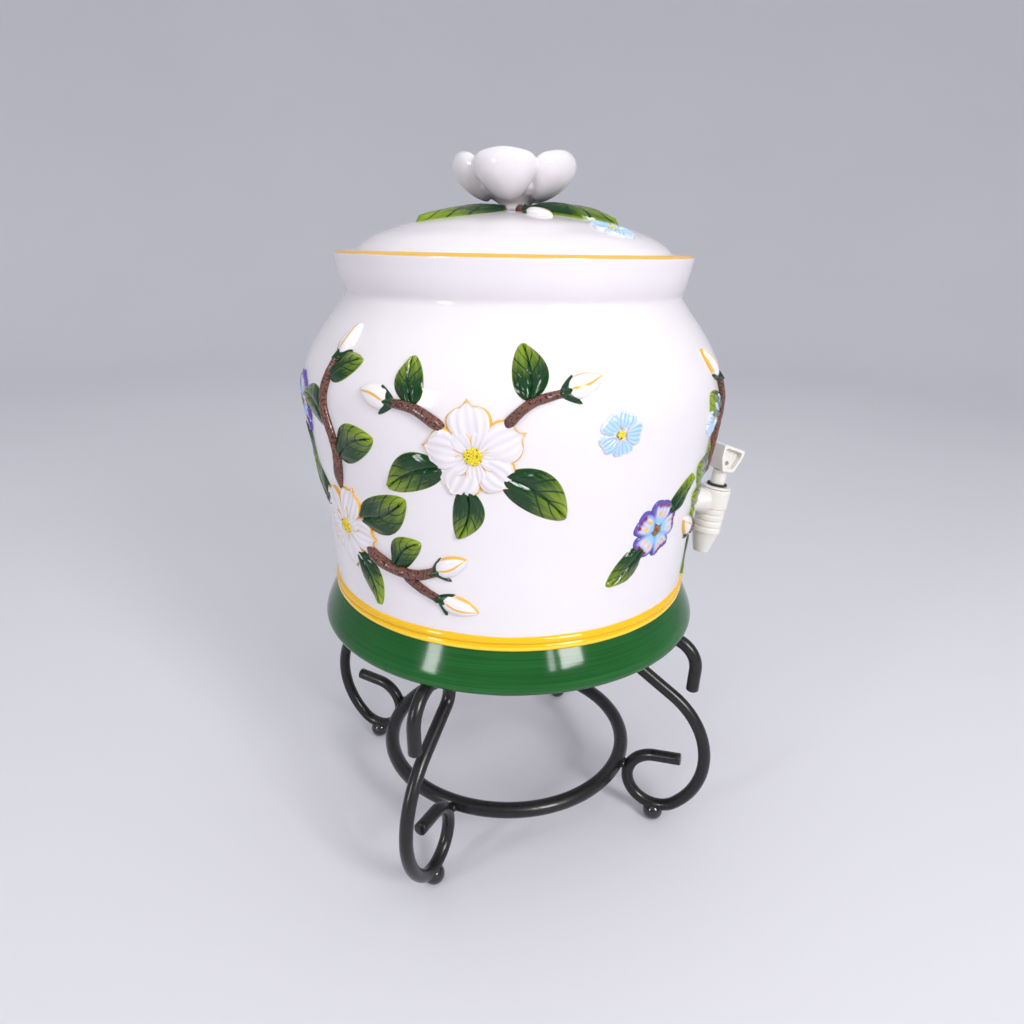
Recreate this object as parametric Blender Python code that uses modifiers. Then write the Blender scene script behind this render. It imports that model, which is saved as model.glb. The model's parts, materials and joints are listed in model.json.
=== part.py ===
"""Glazed drink crock with a lidded mouth and a push-lever tap on a scrolled rod stand.

Lengths are in metres and angles in degrees. +Z is up, the tap points to -Y and the
floor is z = 0. The part is centred on the middle of its bounding box, so the crock's
own axis stands a little behind the origin.
"""
import math

import bmesh
import bpy
from mathutils import Matrix, Vector

# Clearances that all pieces share
GAP = 0.0003
OVERRUN = 0.004

# Stand: four scrolled legs between two rings, on ball feet
LEG_AZIMUTHS = (45.0, 135.0, 225.0, 315.0)
LEG_ROD_RADIUS = 0.004
RING_ROD_RADIUS = 0.0049
LOWER_RING_RADIUS = 0.0829
LOWER_RING_HEIGHT = 0.0384
BALL_RADIUS = 0.0067
BALL_FLAT_CUT = 0.0005
ROD_LIFT = 0.0073
LOW_CURL_RADIUS = 0.0197
LOW_CURL_TAIL = 0.0176
LOW_CURL_HEADING = 187.0
LOW_CURL_TURN = 216.5
OUT_BEND_RADIUS = 0.0531
OUT_BEND_TURN = 103.5
RISE_LENGTH = 0.0293
INNER_BEND_RADIUS = 0.0106
INNER_BEND_TURN = 77.7
CROWN_BEND_RADIUS = 0.0204
CROWN_BEND_TURN = 72.1
CROWN_RUN = 0.0032
HOOK_BEND_RADIUS = 0.0184
HOOK_BEND_TURN = 89.5
HOOK_TAIL = 0.0149
BEND_STEP = 16.0
RING_STEPS = 40

# Crock
CROCK_HEIGHT = 0.2229
BELLY_RADIUS = 0.1244
CROCK_WALL = 0.0085
FOOT_INNER_RADIUS = 0.098
FOOT_OUTER_RADIUS = 0.1155
FOOT_RECESS = 0.004
FLOOR_THICKNESS = 0.0085
SKIRT_RADIUS = 0.1208
SKIRT_HEIGHT = 0.0234
BEAD_HEIGHT = 0.0074
BEAD_RADIUS = 0.1132
BEAD_DEPTH = 0.0011
RIM_RADIUS = 0.1027
RIM_ROUND = 0.0022
SEAT_RADIUS = 0.095
SEAT_DEPTH = 0.0077
THROAT_RADIUS = 0.088
THROAT_END = 0.0235
CROCK_STEPS = 44

# Wall outline from the beads to the neck: share of the height, share of the belly radius
WALL_SHARES = (
    (0.144, 0.897),
    (0.250, 0.912),
    (0.341, 0.925),
    (0.453, 0.952),
    (0.565, 0.981),
    (0.655, 1.000),
    (0.700, 0.9935),
    (0.745, 0.971),
    (0.812, 0.901),
    (0.861, 0.831),
    (0.900, 0.782),
)
# Foot skirt outline: share of the skirt's height, share of its bulge past the foot
SKIRT_SHARES = (
    (0.04, 0.72),
    (0.15, 1.00),
    (0.32, 0.84),
    (0.56, 0.62),
    (0.80, 0.29),
)
# Neck outline: share of the way from the crease to the rim, share of the flare
NECK_SHARES = ((0.20, 0.33), (0.52, 0.66))

# Blossoms moulded on the wall: azimuth, share of the crock's height
WHITE_BLOSSOM_RADIUS = 0.026
WHITE_BLOSSOM_RELIEF = 0.004
VIOLET_BLOSSOM_RADIUS = 0.018
VIOLET_BLOSSOM_RELIEF = 0.003
BLUE_BLOSSOM_RADIUS = 0.012
BLUE_BLOSSOM_RELIEF = 0.0025
WHITE_BLOSSOM_SHARES = (
    (150.0, 0.60),
    (108.0, 0.36),
    (244.0, 0.34),
    (356.0, 0.62),
    (30.0, 0.36),
    (306.0, 0.62),
)
VIOLET_BLOSSOM_SHARES = ((200.0, 0.38), (88.0, 0.64), (335.0, 0.33))
BLUE_BLOSSOM_SHARES = ((183.0, 0.64), (222.0, 0.63), (45.0, 0.66))

# Lid
LID_CLEARANCE = 0.0006
LID_EDGE = 0.0030
LID_RISE = 0.0295
LID_THICKNESS = 0.0055
LID_LIP_RADIUS = 0.0865
LID_LIP_WIDTH = 0.005
LID_LIP_DROP = 0.007
LID_STEPS = 36
KNOB_WAIST_RADIUS = 0.0086
KNOB_WAIST_HEIGHT = 0.0052
KNOB_CUP_RADIUS = 0.0270
KNOB_CUP_HEIGHT = 0.0120
PETAL_COUNT = 5
PETAL_FIRST_AZIMUTH = 144.0
PETAL_OFFSET = 0.0240
PETAL_HALF_WIDTH = 0.0160
PETAL_HALF_THICKNESS = 0.0105
PETAL_HALF_HEIGHT = 0.0145
PETAL_LEAN = 28.0
# Cup outline under the petals: share of the cup's radius, share of its height
CUP_SHARES = ((0.70, 1.00), (1.00, 0.75), (1.00, 0.42), (0.78, 0.08), (0.45, 0.00))
# Dome outline: share of the dome's radius, share of its rise above the edge
DOME_SHARES = (
    (0.985, 0.07),
    (0.955, 0.18),
    (0.925, 0.29),
    (0.850, 0.46),
    (0.740, 0.61),
    (0.610, 0.75),
    (0.420, 0.88),
    (0.220, 0.97),
)

# Tap: seat on the wall, shank, barrel and spout
TAP_HEIGHT = 0.0596
TAP_TILT = 9.2
TAP_REACH = 0.0474
SPOT_DEPTH = 0.0020
SPOT_RADIUS = 0.0168
INNER_SPOT_DEPTH = 0.0016
SHANK_RADIUS = 0.008
SHANK_BORE = 0.0045
SHANK_END = 0.004
HOLE_CLEARANCE = 0.0005
WASHER_RADIUS = 0.0155
WASHER_THICKNESS = 0.0025
FLANGE_RADIUS = 0.015
FLANGE_THICKNESS = 0.003
NUT_HALF_WIDTH = 0.0135
NUT_THICKNESS = 0.008
BARREL_TOP = 0.0101
BARREL_STEP = 0.0141
BARREL_RADIUS = 0.011
SLEEVE_RADIUS = 0.0104
SLEEVE_LENGTH = 0.0195
RIB_DEPTH = 0.0005
RIB_COUNT = 4
SPOUT_TOP_RADIUS = 0.0096
SPOUT_END_RADIUS = 0.0056
SPOUT_LENGTH = 0.0155
CHAMBER_RADIUS = 0.0075
CHAMBER_DEPTH = 0.0241
OUTLET_RADIUS = 0.004

# Tap: cap, stem, lever and the pieces that go with them
CAP_RADIUS = 0.0104
CAP_THICKNESS = 0.0016
CAP_PLUG_LENGTH = 0.0055
NECK_RADIUS = 0.0052
NECK_HEIGHT = 0.0122
NECK_RING_RADIUS = 0.0009
STEM_RADIUS = 0.0024
STEM_DISC_RADIUS = 0.0063
STEM_DISC_THICKNESS = 0.0015
STEM_NIB_RADIUS = 0.0016
STEM_NIB_LENGTH = 0.0014
SEAT_WASHER_THICKNESS = 0.0021
SEAT_WASHER_RADIUS = 0.0066
EYE_RADIUS = 0.0034
EYE_THICKNESS = 0.005
PIN_RADIUS = 0.00125
PIN_HEIGHT = 0.0055
SPRING_RADIUS = 0.0044
SPRING_WIRE = 0.00045
SPRING_TURNS = 5
SPRING_POINTS = 9
LEVER_WIDTH = 0.018
LEVER_POCKET = 0.004
LEVER_POCKET_SHARE = 0.76
LEVER_REACH = 0.0102
LEVER_BACK = 0.0085
LEVER_TOP = 0.0142
LEVER_HEEL_FRONT = 0.0045
LEVER_HEEL_BACK = 0.0052
LEVER_CORNER = 0.0016

CAP_SIDES = 28
SMALL_SIDES = 24


def clear_scene():
    for item in list(bpy.data.objects):
        bpy.data.objects.remove(item, do_unlink=True)


def make_collection(name):
    collection = bpy.data.collections.new(name)
    bpy.context.scene.collection.children.link(collection)
    return collection


clear_scene()
PARTS = make_collection("clay_water_pot_with_tap")
CUTTERS = make_collection("cutters")


def material(name, colour, roughness, metallic=0.0):
    made = bpy.data.materials.new(name)
    made.use_nodes = True
    shader = made.node_tree.nodes["Principled BSDF"]
    shader.inputs["Base Color"].default_value = (*colour, 1.0)
    shader.inputs["Roughness"].default_value = roughness
    shader.inputs["Metallic"].default_value = metallic
    return made


def empty(name, parent, location, tilt=0.0):
    made = bpy.data.objects.new(name, None)
    PARTS.objects.link(made)
    made.parent = parent
    made.location = location
    made.rotation_euler = (math.radians(tilt), 0.0, 0.0)
    return made


def place(name, mesh, parent=None, location=(0.0, 0.0, 0.0), azimuth=0.0):
    made = bpy.data.objects.new(name, mesh)
    PARTS.objects.link(made)
    made.parent = parent
    made.location = location
    made.rotation_euler = (0.0, 0.0, math.radians(azimuth))
    return made


def as_cutter(item):
    PARTS.objects.unlink(item)
    CUTTERS.objects.link(item)
    item.hide_render = True
    item.display_type = "WIRE"
    return item


def combine(item, other, operation):
    joint = item.modifiers.new(operation.lower(), "BOOLEAN")
    joint.operation = operation
    joint.solver = "EXACT"
    joint.object = as_cutter(other)


def settle(item, angle=35.0):
    """Keep the evaluated mesh as the object's own and shade it smooth."""
    graph = bpy.context.evaluated_depsgraph_get()
    mesh = bpy.data.meshes.new_from_object(item.evaluated_get(graph))
    item.modifiers.clear()
    item.data = mesh
    mesh.shade_smooth()
    mesh.set_sharp_from_angle(angle=math.radians(angle))
    return item


def dress(item, name, colour, roughness, metallic=0.0):
    item.data.materials.clear()
    item.data.materials.append(material(name, colour, roughness, metallic))


def turned(name, outline, steps, parent=None, location=(0.0, 0.0, 0.0), loop=False):
    """Turn an outline of (radius, height) points, which runs down its outer side."""
    mesh = bpy.data.meshes.new(name)
    edges = [(i, i + 1) for i in range(len(outline) - 1)]
    if loop:
        edges.append((len(outline) - 1, 0))
    mesh.from_pydata([(radius, 0.0, height) for radius, height in outline], edges, [])
    made = place(name, mesh, parent, location)
    screw = made.modifiers.new("turn", "SCREW")
    screw.steps = steps
    screw.render_steps = steps
    screw.use_merge_vertices = True
    screw.merge_threshold = 0.00001
    return made


def cylinder(name, radius, start, end, axis, sides, parent=None, location=(0.0, 0.0, 0.0)):
    """A closed cylinder from start to end along one of its object's axes."""
    mesh = bpy.data.meshes.new(name)
    shape = bmesh.new()
    bmesh.ops.create_cone(shape, cap_ends=True, segments=sides, radius1=radius,
                          radius2=radius, depth=end - start)
    middle = Matrix.Translation((0.0, 0.0, (start + end) / 2))
    turn = {"X": Matrix.Rotation(math.pi / 2, 4, "Y"),
            "Y": Matrix.Rotation(-math.pi / 2, 4, "X"),
            "Z": Matrix.Identity(4)}[axis]
    bmesh.ops.transform(shape, matrix=turn @ middle, verts=shape.verts)
    shape.to_mesh(mesh)
    shape.free()
    return place(name, mesh, parent, location)


def box(name, low, high, parent=None, location=(0.0, 0.0, 0.0)):
    mesh = bpy.data.meshes.new(name)
    shape = bmesh.new()
    bmesh.ops.create_cube(shape, size=1.0)
    size = [b - a for a, b in zip(low, high)]
    centre = [(a + b) / 2 for a, b in zip(low, high)]
    matrix = Matrix.Translation(centre) @ Matrix.Diagonal((*size, 1.0))
    bmesh.ops.transform(shape, matrix=matrix, verts=shape.verts)
    shape.to_mesh(mesh)
    shape.free()
    return place(name, mesh, parent, location)


def ellipsoid(name, sides, rings, matrix, parent):
    """A unit ball that the matrix sizes, leans and places."""
    mesh = bpy.data.meshes.new(name)
    shape = bmesh.new()
    bmesh.ops.create_uvsphere(shape, u_segments=sides, v_segments=rings, radius=1.0)
    bmesh.ops.transform(shape, matrix=matrix, verts=shape.verts)
    shape.to_mesh(mesh)
    shape.free()
    return place(name, mesh, parent)


def torus(name, ring_radius, rod_radius, steps, sides, parent, location):
    section = []
    for i in range(sides):
        angle = -2 * math.pi * i / sides
        section.append((ring_radius + rod_radius * math.cos(angle),
                        rod_radius * math.sin(angle)))
    return turned(name, section, steps, parent, location, loop=True)


def tube(name, points, radius, resolution, parent=None, location=(0.0, 0.0, 0.0), azimuth=0.0):
    """A round rod along a row of points, as a curve with filled caps."""
    curve = bpy.data.curves.new(name, "CURVE")
    curve.dimensions = "3D"
    curve.bevel_depth = radius
    curve.bevel_resolution = resolution
    curve.use_fill_caps = True
    line = curve.splines.new("POLY")
    line.points.add(len(points) - 1)
    for spot, point in zip(line.points, points):
        spot.co = (*point, 1.0)
    return place(name, curve, parent, location, azimuth)


def curve_to_mesh(item):
    """Swap a curve object for a mesh object with welded caps, in the same place."""
    bpy.context.view_layer.update()
    graph = bpy.context.evaluated_depsgraph_get()
    mesh = bpy.data.meshes.new_from_object(item.evaluated_get(graph))
    shape = bmesh.new()
    shape.from_mesh(mesh)
    bmesh.ops.remove_doubles(shape, verts=shape.verts, dist=0.00001)
    shape.to_mesh(mesh)
    shape.free()
    name, parent, matrix = item.name, item.parent, item.matrix_world.copy()
    bpy.data.objects.remove(item, do_unlink=True)
    made = place(name, mesh, parent)
    made.matrix_world = matrix
    return made


def smooth_row(points, parts):
    """Points on a Catmull-Rom curve through the given (x, y) points."""
    row = [points[0]]
    padded = [points[0], *points, points[-1]]
    for a, b, c, d in zip(padded, padded[1:], padded[2:], padded[3:]):
        for i in range(1, parts + 1):
            t = i / parts
            row.append(tuple(
                (2 * q + (r - p) * t + (2 * p - 5 * q + 4 * r - s) * t * t
                 + (3 * q - p - 3 * r + s) * t ** 3) / 2
                for p, q, r, s in zip(a, b, c, d)))
    return row


class Path:
    """A bent rod's centre line in the (radius, height) plane."""

    def __init__(self, start, heading):
        self.points = [Vector(start)]
        self.heading = math.radians(heading)

    def direction(self):
        return Vector((math.cos(self.heading), math.sin(self.heading)))

    def run(self, length):
        self.points.append(self.points[-1] + self.direction() * length)

    def bend(self, radius, turn):
        """Bend to the left for a positive turn and to the right for a negative one."""
        side = math.copysign(1.0, turn)
        count = max(2, math.ceil(abs(turn) / BEND_STEP))
        along = self.direction()
        centre = self.points[-1] + Vector((-along.y, along.x)) * radius * side
        arm = self.points[-1] - centre
        for i in range(1, count + 1):
            angle = math.radians(turn) * i / count
            self.points.append(centre + Matrix.Rotation(angle, 2) @ arm)
        self.heading += math.radians(turn)


def leg_path():
    """The leg's centre line from the end of its low curl to the tip of its hook."""
    centre_height = ROD_LIFT + LEG_ROD_RADIUS + LOW_CURL_RADIUS
    reach = LOW_CURL_RADIUS + LEG_ROD_RADIUS + GAP + RING_ROD_RADIUS
    rise = LOWER_RING_HEIGHT - centre_height
    centre_radius = LOWER_RING_RADIUS + math.sqrt(reach ** 2 - rise ** 2)
    heading = math.radians(LOW_CURL_HEADING)
    start = (centre_radius + LOW_CURL_RADIUS * math.sin(heading)
             - LOW_CURL_TAIL * math.cos(heading),
             centre_height - LOW_CURL_RADIUS * math.cos(heading)
             - LOW_CURL_TAIL * math.sin(heading))
    path = Path(start, LOW_CURL_HEADING)
    path.run(LOW_CURL_TAIL)
    path.bend(LOW_CURL_RADIUS, LOW_CURL_TURN)
    path.bend(OUT_BEND_RADIUS, OUT_BEND_TURN)
    path.run(RISE_LENGTH)
    path.bend(INNER_BEND_RADIUS, -INNER_BEND_TURN)
    path.bend(CROWN_BEND_RADIUS, -CROWN_BEND_TURN)
    path.run(CROWN_RUN)
    path.bend(HOOK_BEND_RADIUS, -HOOK_BEND_TURN)
    path.run(HOOK_TAIL)
    return path.points, centre_radius, centre_height


LEG_POINTS, LOW_CURL_X, LOW_CURL_Z = leg_path()
CROCK_Z = max(point.y for point in LEG_POINTS) + LEG_ROD_RADIUS + GAP


def wall_outline():
    """The crock's outer wall from the beads up to the crease under the neck."""
    points = [(radius * BELLY_RADIUS, height * CROCK_HEIGHT) for height, radius in WALL_SHARES]
    lower = smooth_row(points[:5], 1)
    return lower[:-1] + smooth_row(points[4:], 2)


def wall_at(height):
    """The outer wall's radius, and its outward slope, at a height above the foot."""
    row = wall_outline()
    for (r0, z0), (r1, z1) in zip(row, row[1:]):
        if z0 <= height <= z1:
            share = (height - z0) / (z1 - z0)
            return r0 + (r1 - r0) * share, math.atan2(r1 - r0, z1 - z0)
    return row[0][0], 0.0


TAP_WALL_RADIUS, TAP_WALL_SLOPE = wall_at(TAP_HEIGHT)
TAP_SPOT_RADIUS = TAP_WALL_RADIUS - SPOT_DEPTH
TAP_LAND = CROCK_WALL - SPOT_DEPTH - INNER_SPOT_DEPTH
VALVE_RADIUS = TAP_SPOT_RADIUS + (TAP_REACH + SPOT_DEPTH) * math.cos(math.radians(TAP_TILT))
LEVER_FRONT = (VALVE_RADIUS
               + LEVER_REACH * math.cos(math.radians(TAP_TILT))
               + (BARREL_TOP + CAP_THICKNESS + NECK_HEIGHT + PIN_HEIGHT + LEVER_TOP * 0.75)
               * math.sin(math.radians(TAP_TILT)))
POT_Y = (LEVER_FRONT - BELLY_RADIUS - VIOLET_BLOSSOM_RELIEF) / 2


def build_stand(root):
    graphite = (0.055, 0.052, 0.055)
    lower = torus("lower_ring", LOWER_RING_RADIUS, RING_ROD_RADIUS, RING_STEPS, 8, root,
                  (0.0, 0.0, LOWER_RING_HEIGHT))
    dress(settle(lower, 60.0), "lower_ring_paint", graphite, 0.28, 0.6)
    upper_half = [p for p in LEG_POINTS if p.y > CROCK_Z / 2]
    inmost = min(upper_half, key=lambda p: p.x)
    upper_radius = inmost.x - LEG_ROD_RADIUS - GAP - RING_ROD_RADIUS
    upper = torus("upper_ring", upper_radius, RING_ROD_RADIUS, RING_STEPS, 8, root,
                  (0.0, 0.0, inmost.y))
    dress(settle(upper, 60.0), "upper_ring_paint", graphite, 0.28, 0.6)

    line = [(p.x, 0.0, p.y) for p in LEG_POINTS]
    for number, azimuth in enumerate(LEG_AZIMUTHS, 1):
        leg = tube(f"leg_{number}", line, LEG_ROD_RADIUS, 2, root, azimuth=azimuth)
        dress(leg, f"leg_{number}_paint", graphite, 0.28, 0.6)

    shape = ellipsoid("foot_1", 16, 10,
                      Matrix.Translation((0.0, 0.0, BALL_RADIUS - BALL_FLAT_CUT))
                      @ Matrix.Diagonal((BALL_RADIUS, BALL_RADIUS, BALL_RADIUS, 1.0)), None)
    wide = BALL_RADIUS + OVERRUN
    combine(shape, box("foot_floor", (-wide, -wide, -wide), (wide, wide, 0.0)), "DIFFERENCE")
    saddle = (LEG_ROD_RADIUS + GAP) / math.cos(math.pi / 8)
    arc = []
    for i in range(9):
        angle = math.radians(-50.0 + 100.0 * i / 8)
        arc.append((LOW_CURL_RADIUS * math.sin(angle), 0.0,
                    LOW_CURL_Z - LOW_CURL_RADIUS * math.cos(angle)))
    combine(shape, curve_to_mesh(tube("foot_saddle", arc, saddle, 2)), "DIFFERENCE")
    settle(shape)
    for number, azimuth in enumerate(LEG_AZIMUTHS, 1):
        angle = math.radians(azimuth)
        spot = (LOW_CURL_X * math.cos(angle), LOW_CURL_X * math.sin(angle), 0.0)
        if number == 1:
            foot = shape
            foot.parent = root
            foot.location = spot
            foot.rotation_euler = (0.0, 0.0, angle)
        else:
            foot = place(f"foot_{number}", shape.data.copy(), root, spot, azimuth)
        dress(foot, f"foot_{number}_paint", (0.01, 0.01, 0.011), 0.15)


def crock_outline():
    """Down from the inner floor's centre over the wall and rim to the foot's recess."""
    wall = wall_outline()
    floor = FOOT_RECESS + FLOOR_THICKNESS
    inner = []
    for before, here, after in zip(wall, wall[1:], wall[2:]):
        across = Vector((after[1] - before[1], before[0] - after[0])).normalized()
        inner.append((here[0] - across.x * CROCK_WALL, here[1] - across.y * CROCK_WALL))
    inner = inner[::3]
    lowest = inner[0][0]
    crease_radius, crease_height = wall[-1]
    seat = CROCK_HEIGHT - SEAT_DEPTH
    bead_middle = SKIRT_HEIGHT + BEAD_HEIGHT / 2

    down = [(0.0, floor)]
    down.append((lowest - 3 * FLOOR_THICKNESS / 2, floor))
    down.append((lowest - FLOOR_THICKNESS / 3, floor + FLOOR_THICKNESS / 3))
    down.append((lowest, floor + FLOOR_THICKNESS))
    down.extend(inner)
    down.append((THROAT_RADIUS, CROCK_HEIGHT - THROAT_END))
    down.append((THROAT_RADIUS, seat))
    down.append((SEAT_RADIUS, seat))
    down.append((SEAT_RADIUS, CROCK_HEIGHT - RIM_ROUND * 2))
    down.append((SEAT_RADIUS + RIM_ROUND, CROCK_HEIGHT))
    down.append((RIM_RADIUS - RIM_ROUND, CROCK_HEIGHT))
    down.append((RIM_RADIUS, CROCK_HEIGHT - RIM_ROUND))
    flare = RIM_RADIUS - crease_radius
    for up, out in reversed(NECK_SHARES):
        down.append((crease_radius + out * flare,
                     crease_height + up * (CROCK_HEIGHT - crease_height)))
    down.extend(reversed(wall))
    down.append((BEAD_RADIUS, SKIRT_HEIGHT + BEAD_HEIGHT * 0.75))
    down.append((BEAD_RADIUS - BEAD_DEPTH, bead_middle))
    down.append((BEAD_RADIUS, SKIRT_HEIGHT + BEAD_HEIGHT * 0.25))
    down.append((BEAD_RADIUS - BEAD_DEPTH, SKIRT_HEIGHT))
    for up, out in reversed(SKIRT_SHARES):
        inside = BEAD_RADIUS - BEAD_DEPTH if up > 0.5 else FOOT_OUTER_RADIUS
        down.append((inside + out * (SKIRT_RADIUS - inside), up * SKIRT_HEIGHT))
    down.append((FOOT_OUTER_RADIUS, 0.0))
    down.append((FOOT_INNER_RADIUS, 0.0))
    down.append((FOOT_INNER_RADIUS - FOOT_RECESS, FOOT_RECESS))
    down.append((0.0, FOOT_RECESS))
    return down


def blossom_pad(name, azimuth, height_share, radius, relief):
    """A low moulded dome that follows the wall where one blossom sits."""
    height = height_share * CROCK_HEIGHT
    wall_radius, slope = wall_at(height)
    sag = radius ** 2 / (2 * wall_radius)
    matrix = (Matrix.Rotation(math.radians(azimuth), 4, "Z")
              @ Matrix.Translation((wall_radius, 0.0, height))
              @ Matrix.Rotation(slope, 4, "Y")
              @ Matrix.Translation((-sag, 0.0, 0.0))
              @ Matrix.Diagonal((relief + sag, radius, radius, 1.0))
              @ Matrix.Rotation(math.pi / 2, 4, "Y"))
    return ellipsoid(name, 16, 8, matrix, None)


def build_crock(root):
    crock = turned("crock", crock_outline(), CROCK_STEPS)
    kinds = (
        ("white_blossom", WHITE_BLOSSOM_SHARES, WHITE_BLOSSOM_RADIUS, WHITE_BLOSSOM_RELIEF),
        ("violet_blossom", VIOLET_BLOSSOM_SHARES, VIOLET_BLOSSOM_RADIUS, VIOLET_BLOSSOM_RELIEF),
        ("blue_blossom", BLUE_BLOSSOM_SHARES, BLUE_BLOSSOM_RADIUS, BLUE_BLOSSOM_RELIEF),
    )
    for kind, places, radius, relief in kinds:
        for number, (azimuth, share) in enumerate(places, 1):
            pad = blossom_pad(f"{kind}_{number}", azimuth, share, radius, relief)
            combine(crock, pad, "UNION")

    spot = empty("tap_spot", None, (0.0, -TAP_SPOT_RADIUS, TAP_HEIGHT), TAP_TILT)
    far = CROCK_WALL * 2
    outer = cylinder("outer_spot", SPOT_RADIUS, -far, 0.0, "Y", CAP_SIDES, spot)
    combine(crock, outer, "DIFFERENCE")
    inner = cylinder("inner_spot", SPOT_RADIUS + OVERRUN / 2, TAP_LAND, far, "Y", CAP_SIDES, spot)
    combine(crock, inner, "DIFFERENCE")
    hole = cylinder("tap_hole", SHANK_RADIUS + HOLE_CLEARANCE, -OVERRUN, TAP_LAND + OVERRUN,
                    "Y", CAP_SIDES, spot)
    combine(crock, hole, "DIFFERENCE")
    bpy.context.view_layer.update()
    settle(crock)
    crock.parent = root
    crock.location = (0.0, 0.0, CROCK_Z)
    dress(crock, "crock_glaze", (0.86, 0.84, 0.86), 0.12)
    return crock


def build_lid(crock):
    """A domed lid whose edge rests on the seat inside the neck, with a blossom knob."""
    edge_radius = SEAT_RADIUS - LID_CLEARANCE
    base = 0.0
    dome = [(edge_radius * out, LID_EDGE + up * (LID_RISE - LID_EDGE)) for out, up in DOME_SHARES]
    cap = LID_RISE + KNOB_WAIST_HEIGHT
    outline = [(0.0, cap + KNOB_CUP_HEIGHT * 0.7)]
    for out, up in CUP_SHARES:
        outline.append((KNOB_CUP_RADIUS * out, cap + KNOB_CUP_HEIGHT * up))
    outline.append((KNOB_WAIST_RADIUS, cap - KNOB_WAIST_HEIGHT * 0.4))
    outline.append((KNOB_WAIST_RADIUS * 1.1, LID_RISE))
    outline.extend(reversed(dome))
    outline.append((edge_radius, LID_EDGE))
    outline.append((edge_radius, base))
    outline.append((LID_LIP_RADIUS, base))
    outline.append((LID_LIP_RADIUS - LID_LIP_DROP * 0.1, base - LID_LIP_DROP))
    outline.append((LID_LIP_RADIUS - LID_LIP_WIDTH, base - LID_LIP_DROP))
    inner_radius = LID_LIP_RADIUS - LID_LIP_WIDTH
    for out, up in DOME_SHARES[2:]:
        radius = edge_radius * out
        if radius < inner_radius:
            outline.append((radius, LID_EDGE + up * (LID_RISE - LID_EDGE) - LID_THICKNESS))
    outline.append((0.0, LID_RISE - LID_THICKNESS))
    lid = turned("lid", outline, LID_STEPS)

    middle = cap + KNOB_CUP_HEIGHT
    for number in range(PETAL_COUNT):
        azimuth = PETAL_FIRST_AZIMUTH + 360.0 * number / PETAL_COUNT
        matrix = (Matrix.Rotation(math.radians(azimuth), 4, "Z")
                  @ Matrix.Translation((PETAL_OFFSET, 0.0, middle))
                  @ Matrix.Rotation(math.radians(PETAL_LEAN), 4, "Y")
                  @ Matrix.Diagonal((PETAL_HALF_THICKNESS, PETAL_HALF_WIDTH,
                                     PETAL_HALF_HEIGHT, 1.0)))
        combine(lid, ellipsoid(f"petal_{number + 1}", 14, 9, matrix, None), "UNION")
    bpy.context.view_layer.update()
    settle(lid)
    lid.parent = crock
    lid.location = (0.0, 0.0, CROCK_HEIGHT - SEAT_DEPTH + GAP)
    dress(lid, "lid_glaze", (0.86, 0.84, 0.86), 0.12)


def barrel_outline():
    """The barrel's outer side from its top ring down over the ribbed sleeve and spout."""
    down = [(0.0, BARREL_TOP), (BARREL_RADIUS, BARREL_TOP)]
    step = BARREL_TOP - BARREL_STEP
    down.append((BARREL_RADIUS, step))
    pitch = SLEEVE_LENGTH / RIB_COUNT
    for number in range(RIB_COUNT):
        top = step - number * pitch
        down.append((SLEEVE_RADIUS - RIB_DEPTH, top))
        down.append((SLEEVE_RADIUS, top - pitch * 0.15))
        down.append((SLEEVE_RADIUS, top - pitch * 0.85))
    end = step - SLEEVE_LENGTH
    down.append((SPOUT_TOP_RADIUS, end))
    down.append((SPOUT_END_RADIUS, end - SPOUT_LENGTH))
    down.append((0.0, end - SPOUT_LENGTH))
    return down


def ring_piece(name, inner, outer, start, end, parent, sides):
    """A flat ring along the shank, from start to end on +Y."""
    made = cylinder(name, outer, start, end, "Y", sides, parent)
    combine(made, cylinder(f"{name}_bore", inner, start - OVERRUN, end + OVERRUN, "Y",
                           SMALL_SIDES, parent), "DIFFERENCE")
    bpy.context.view_layer.update()
    return settle(made)


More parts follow.
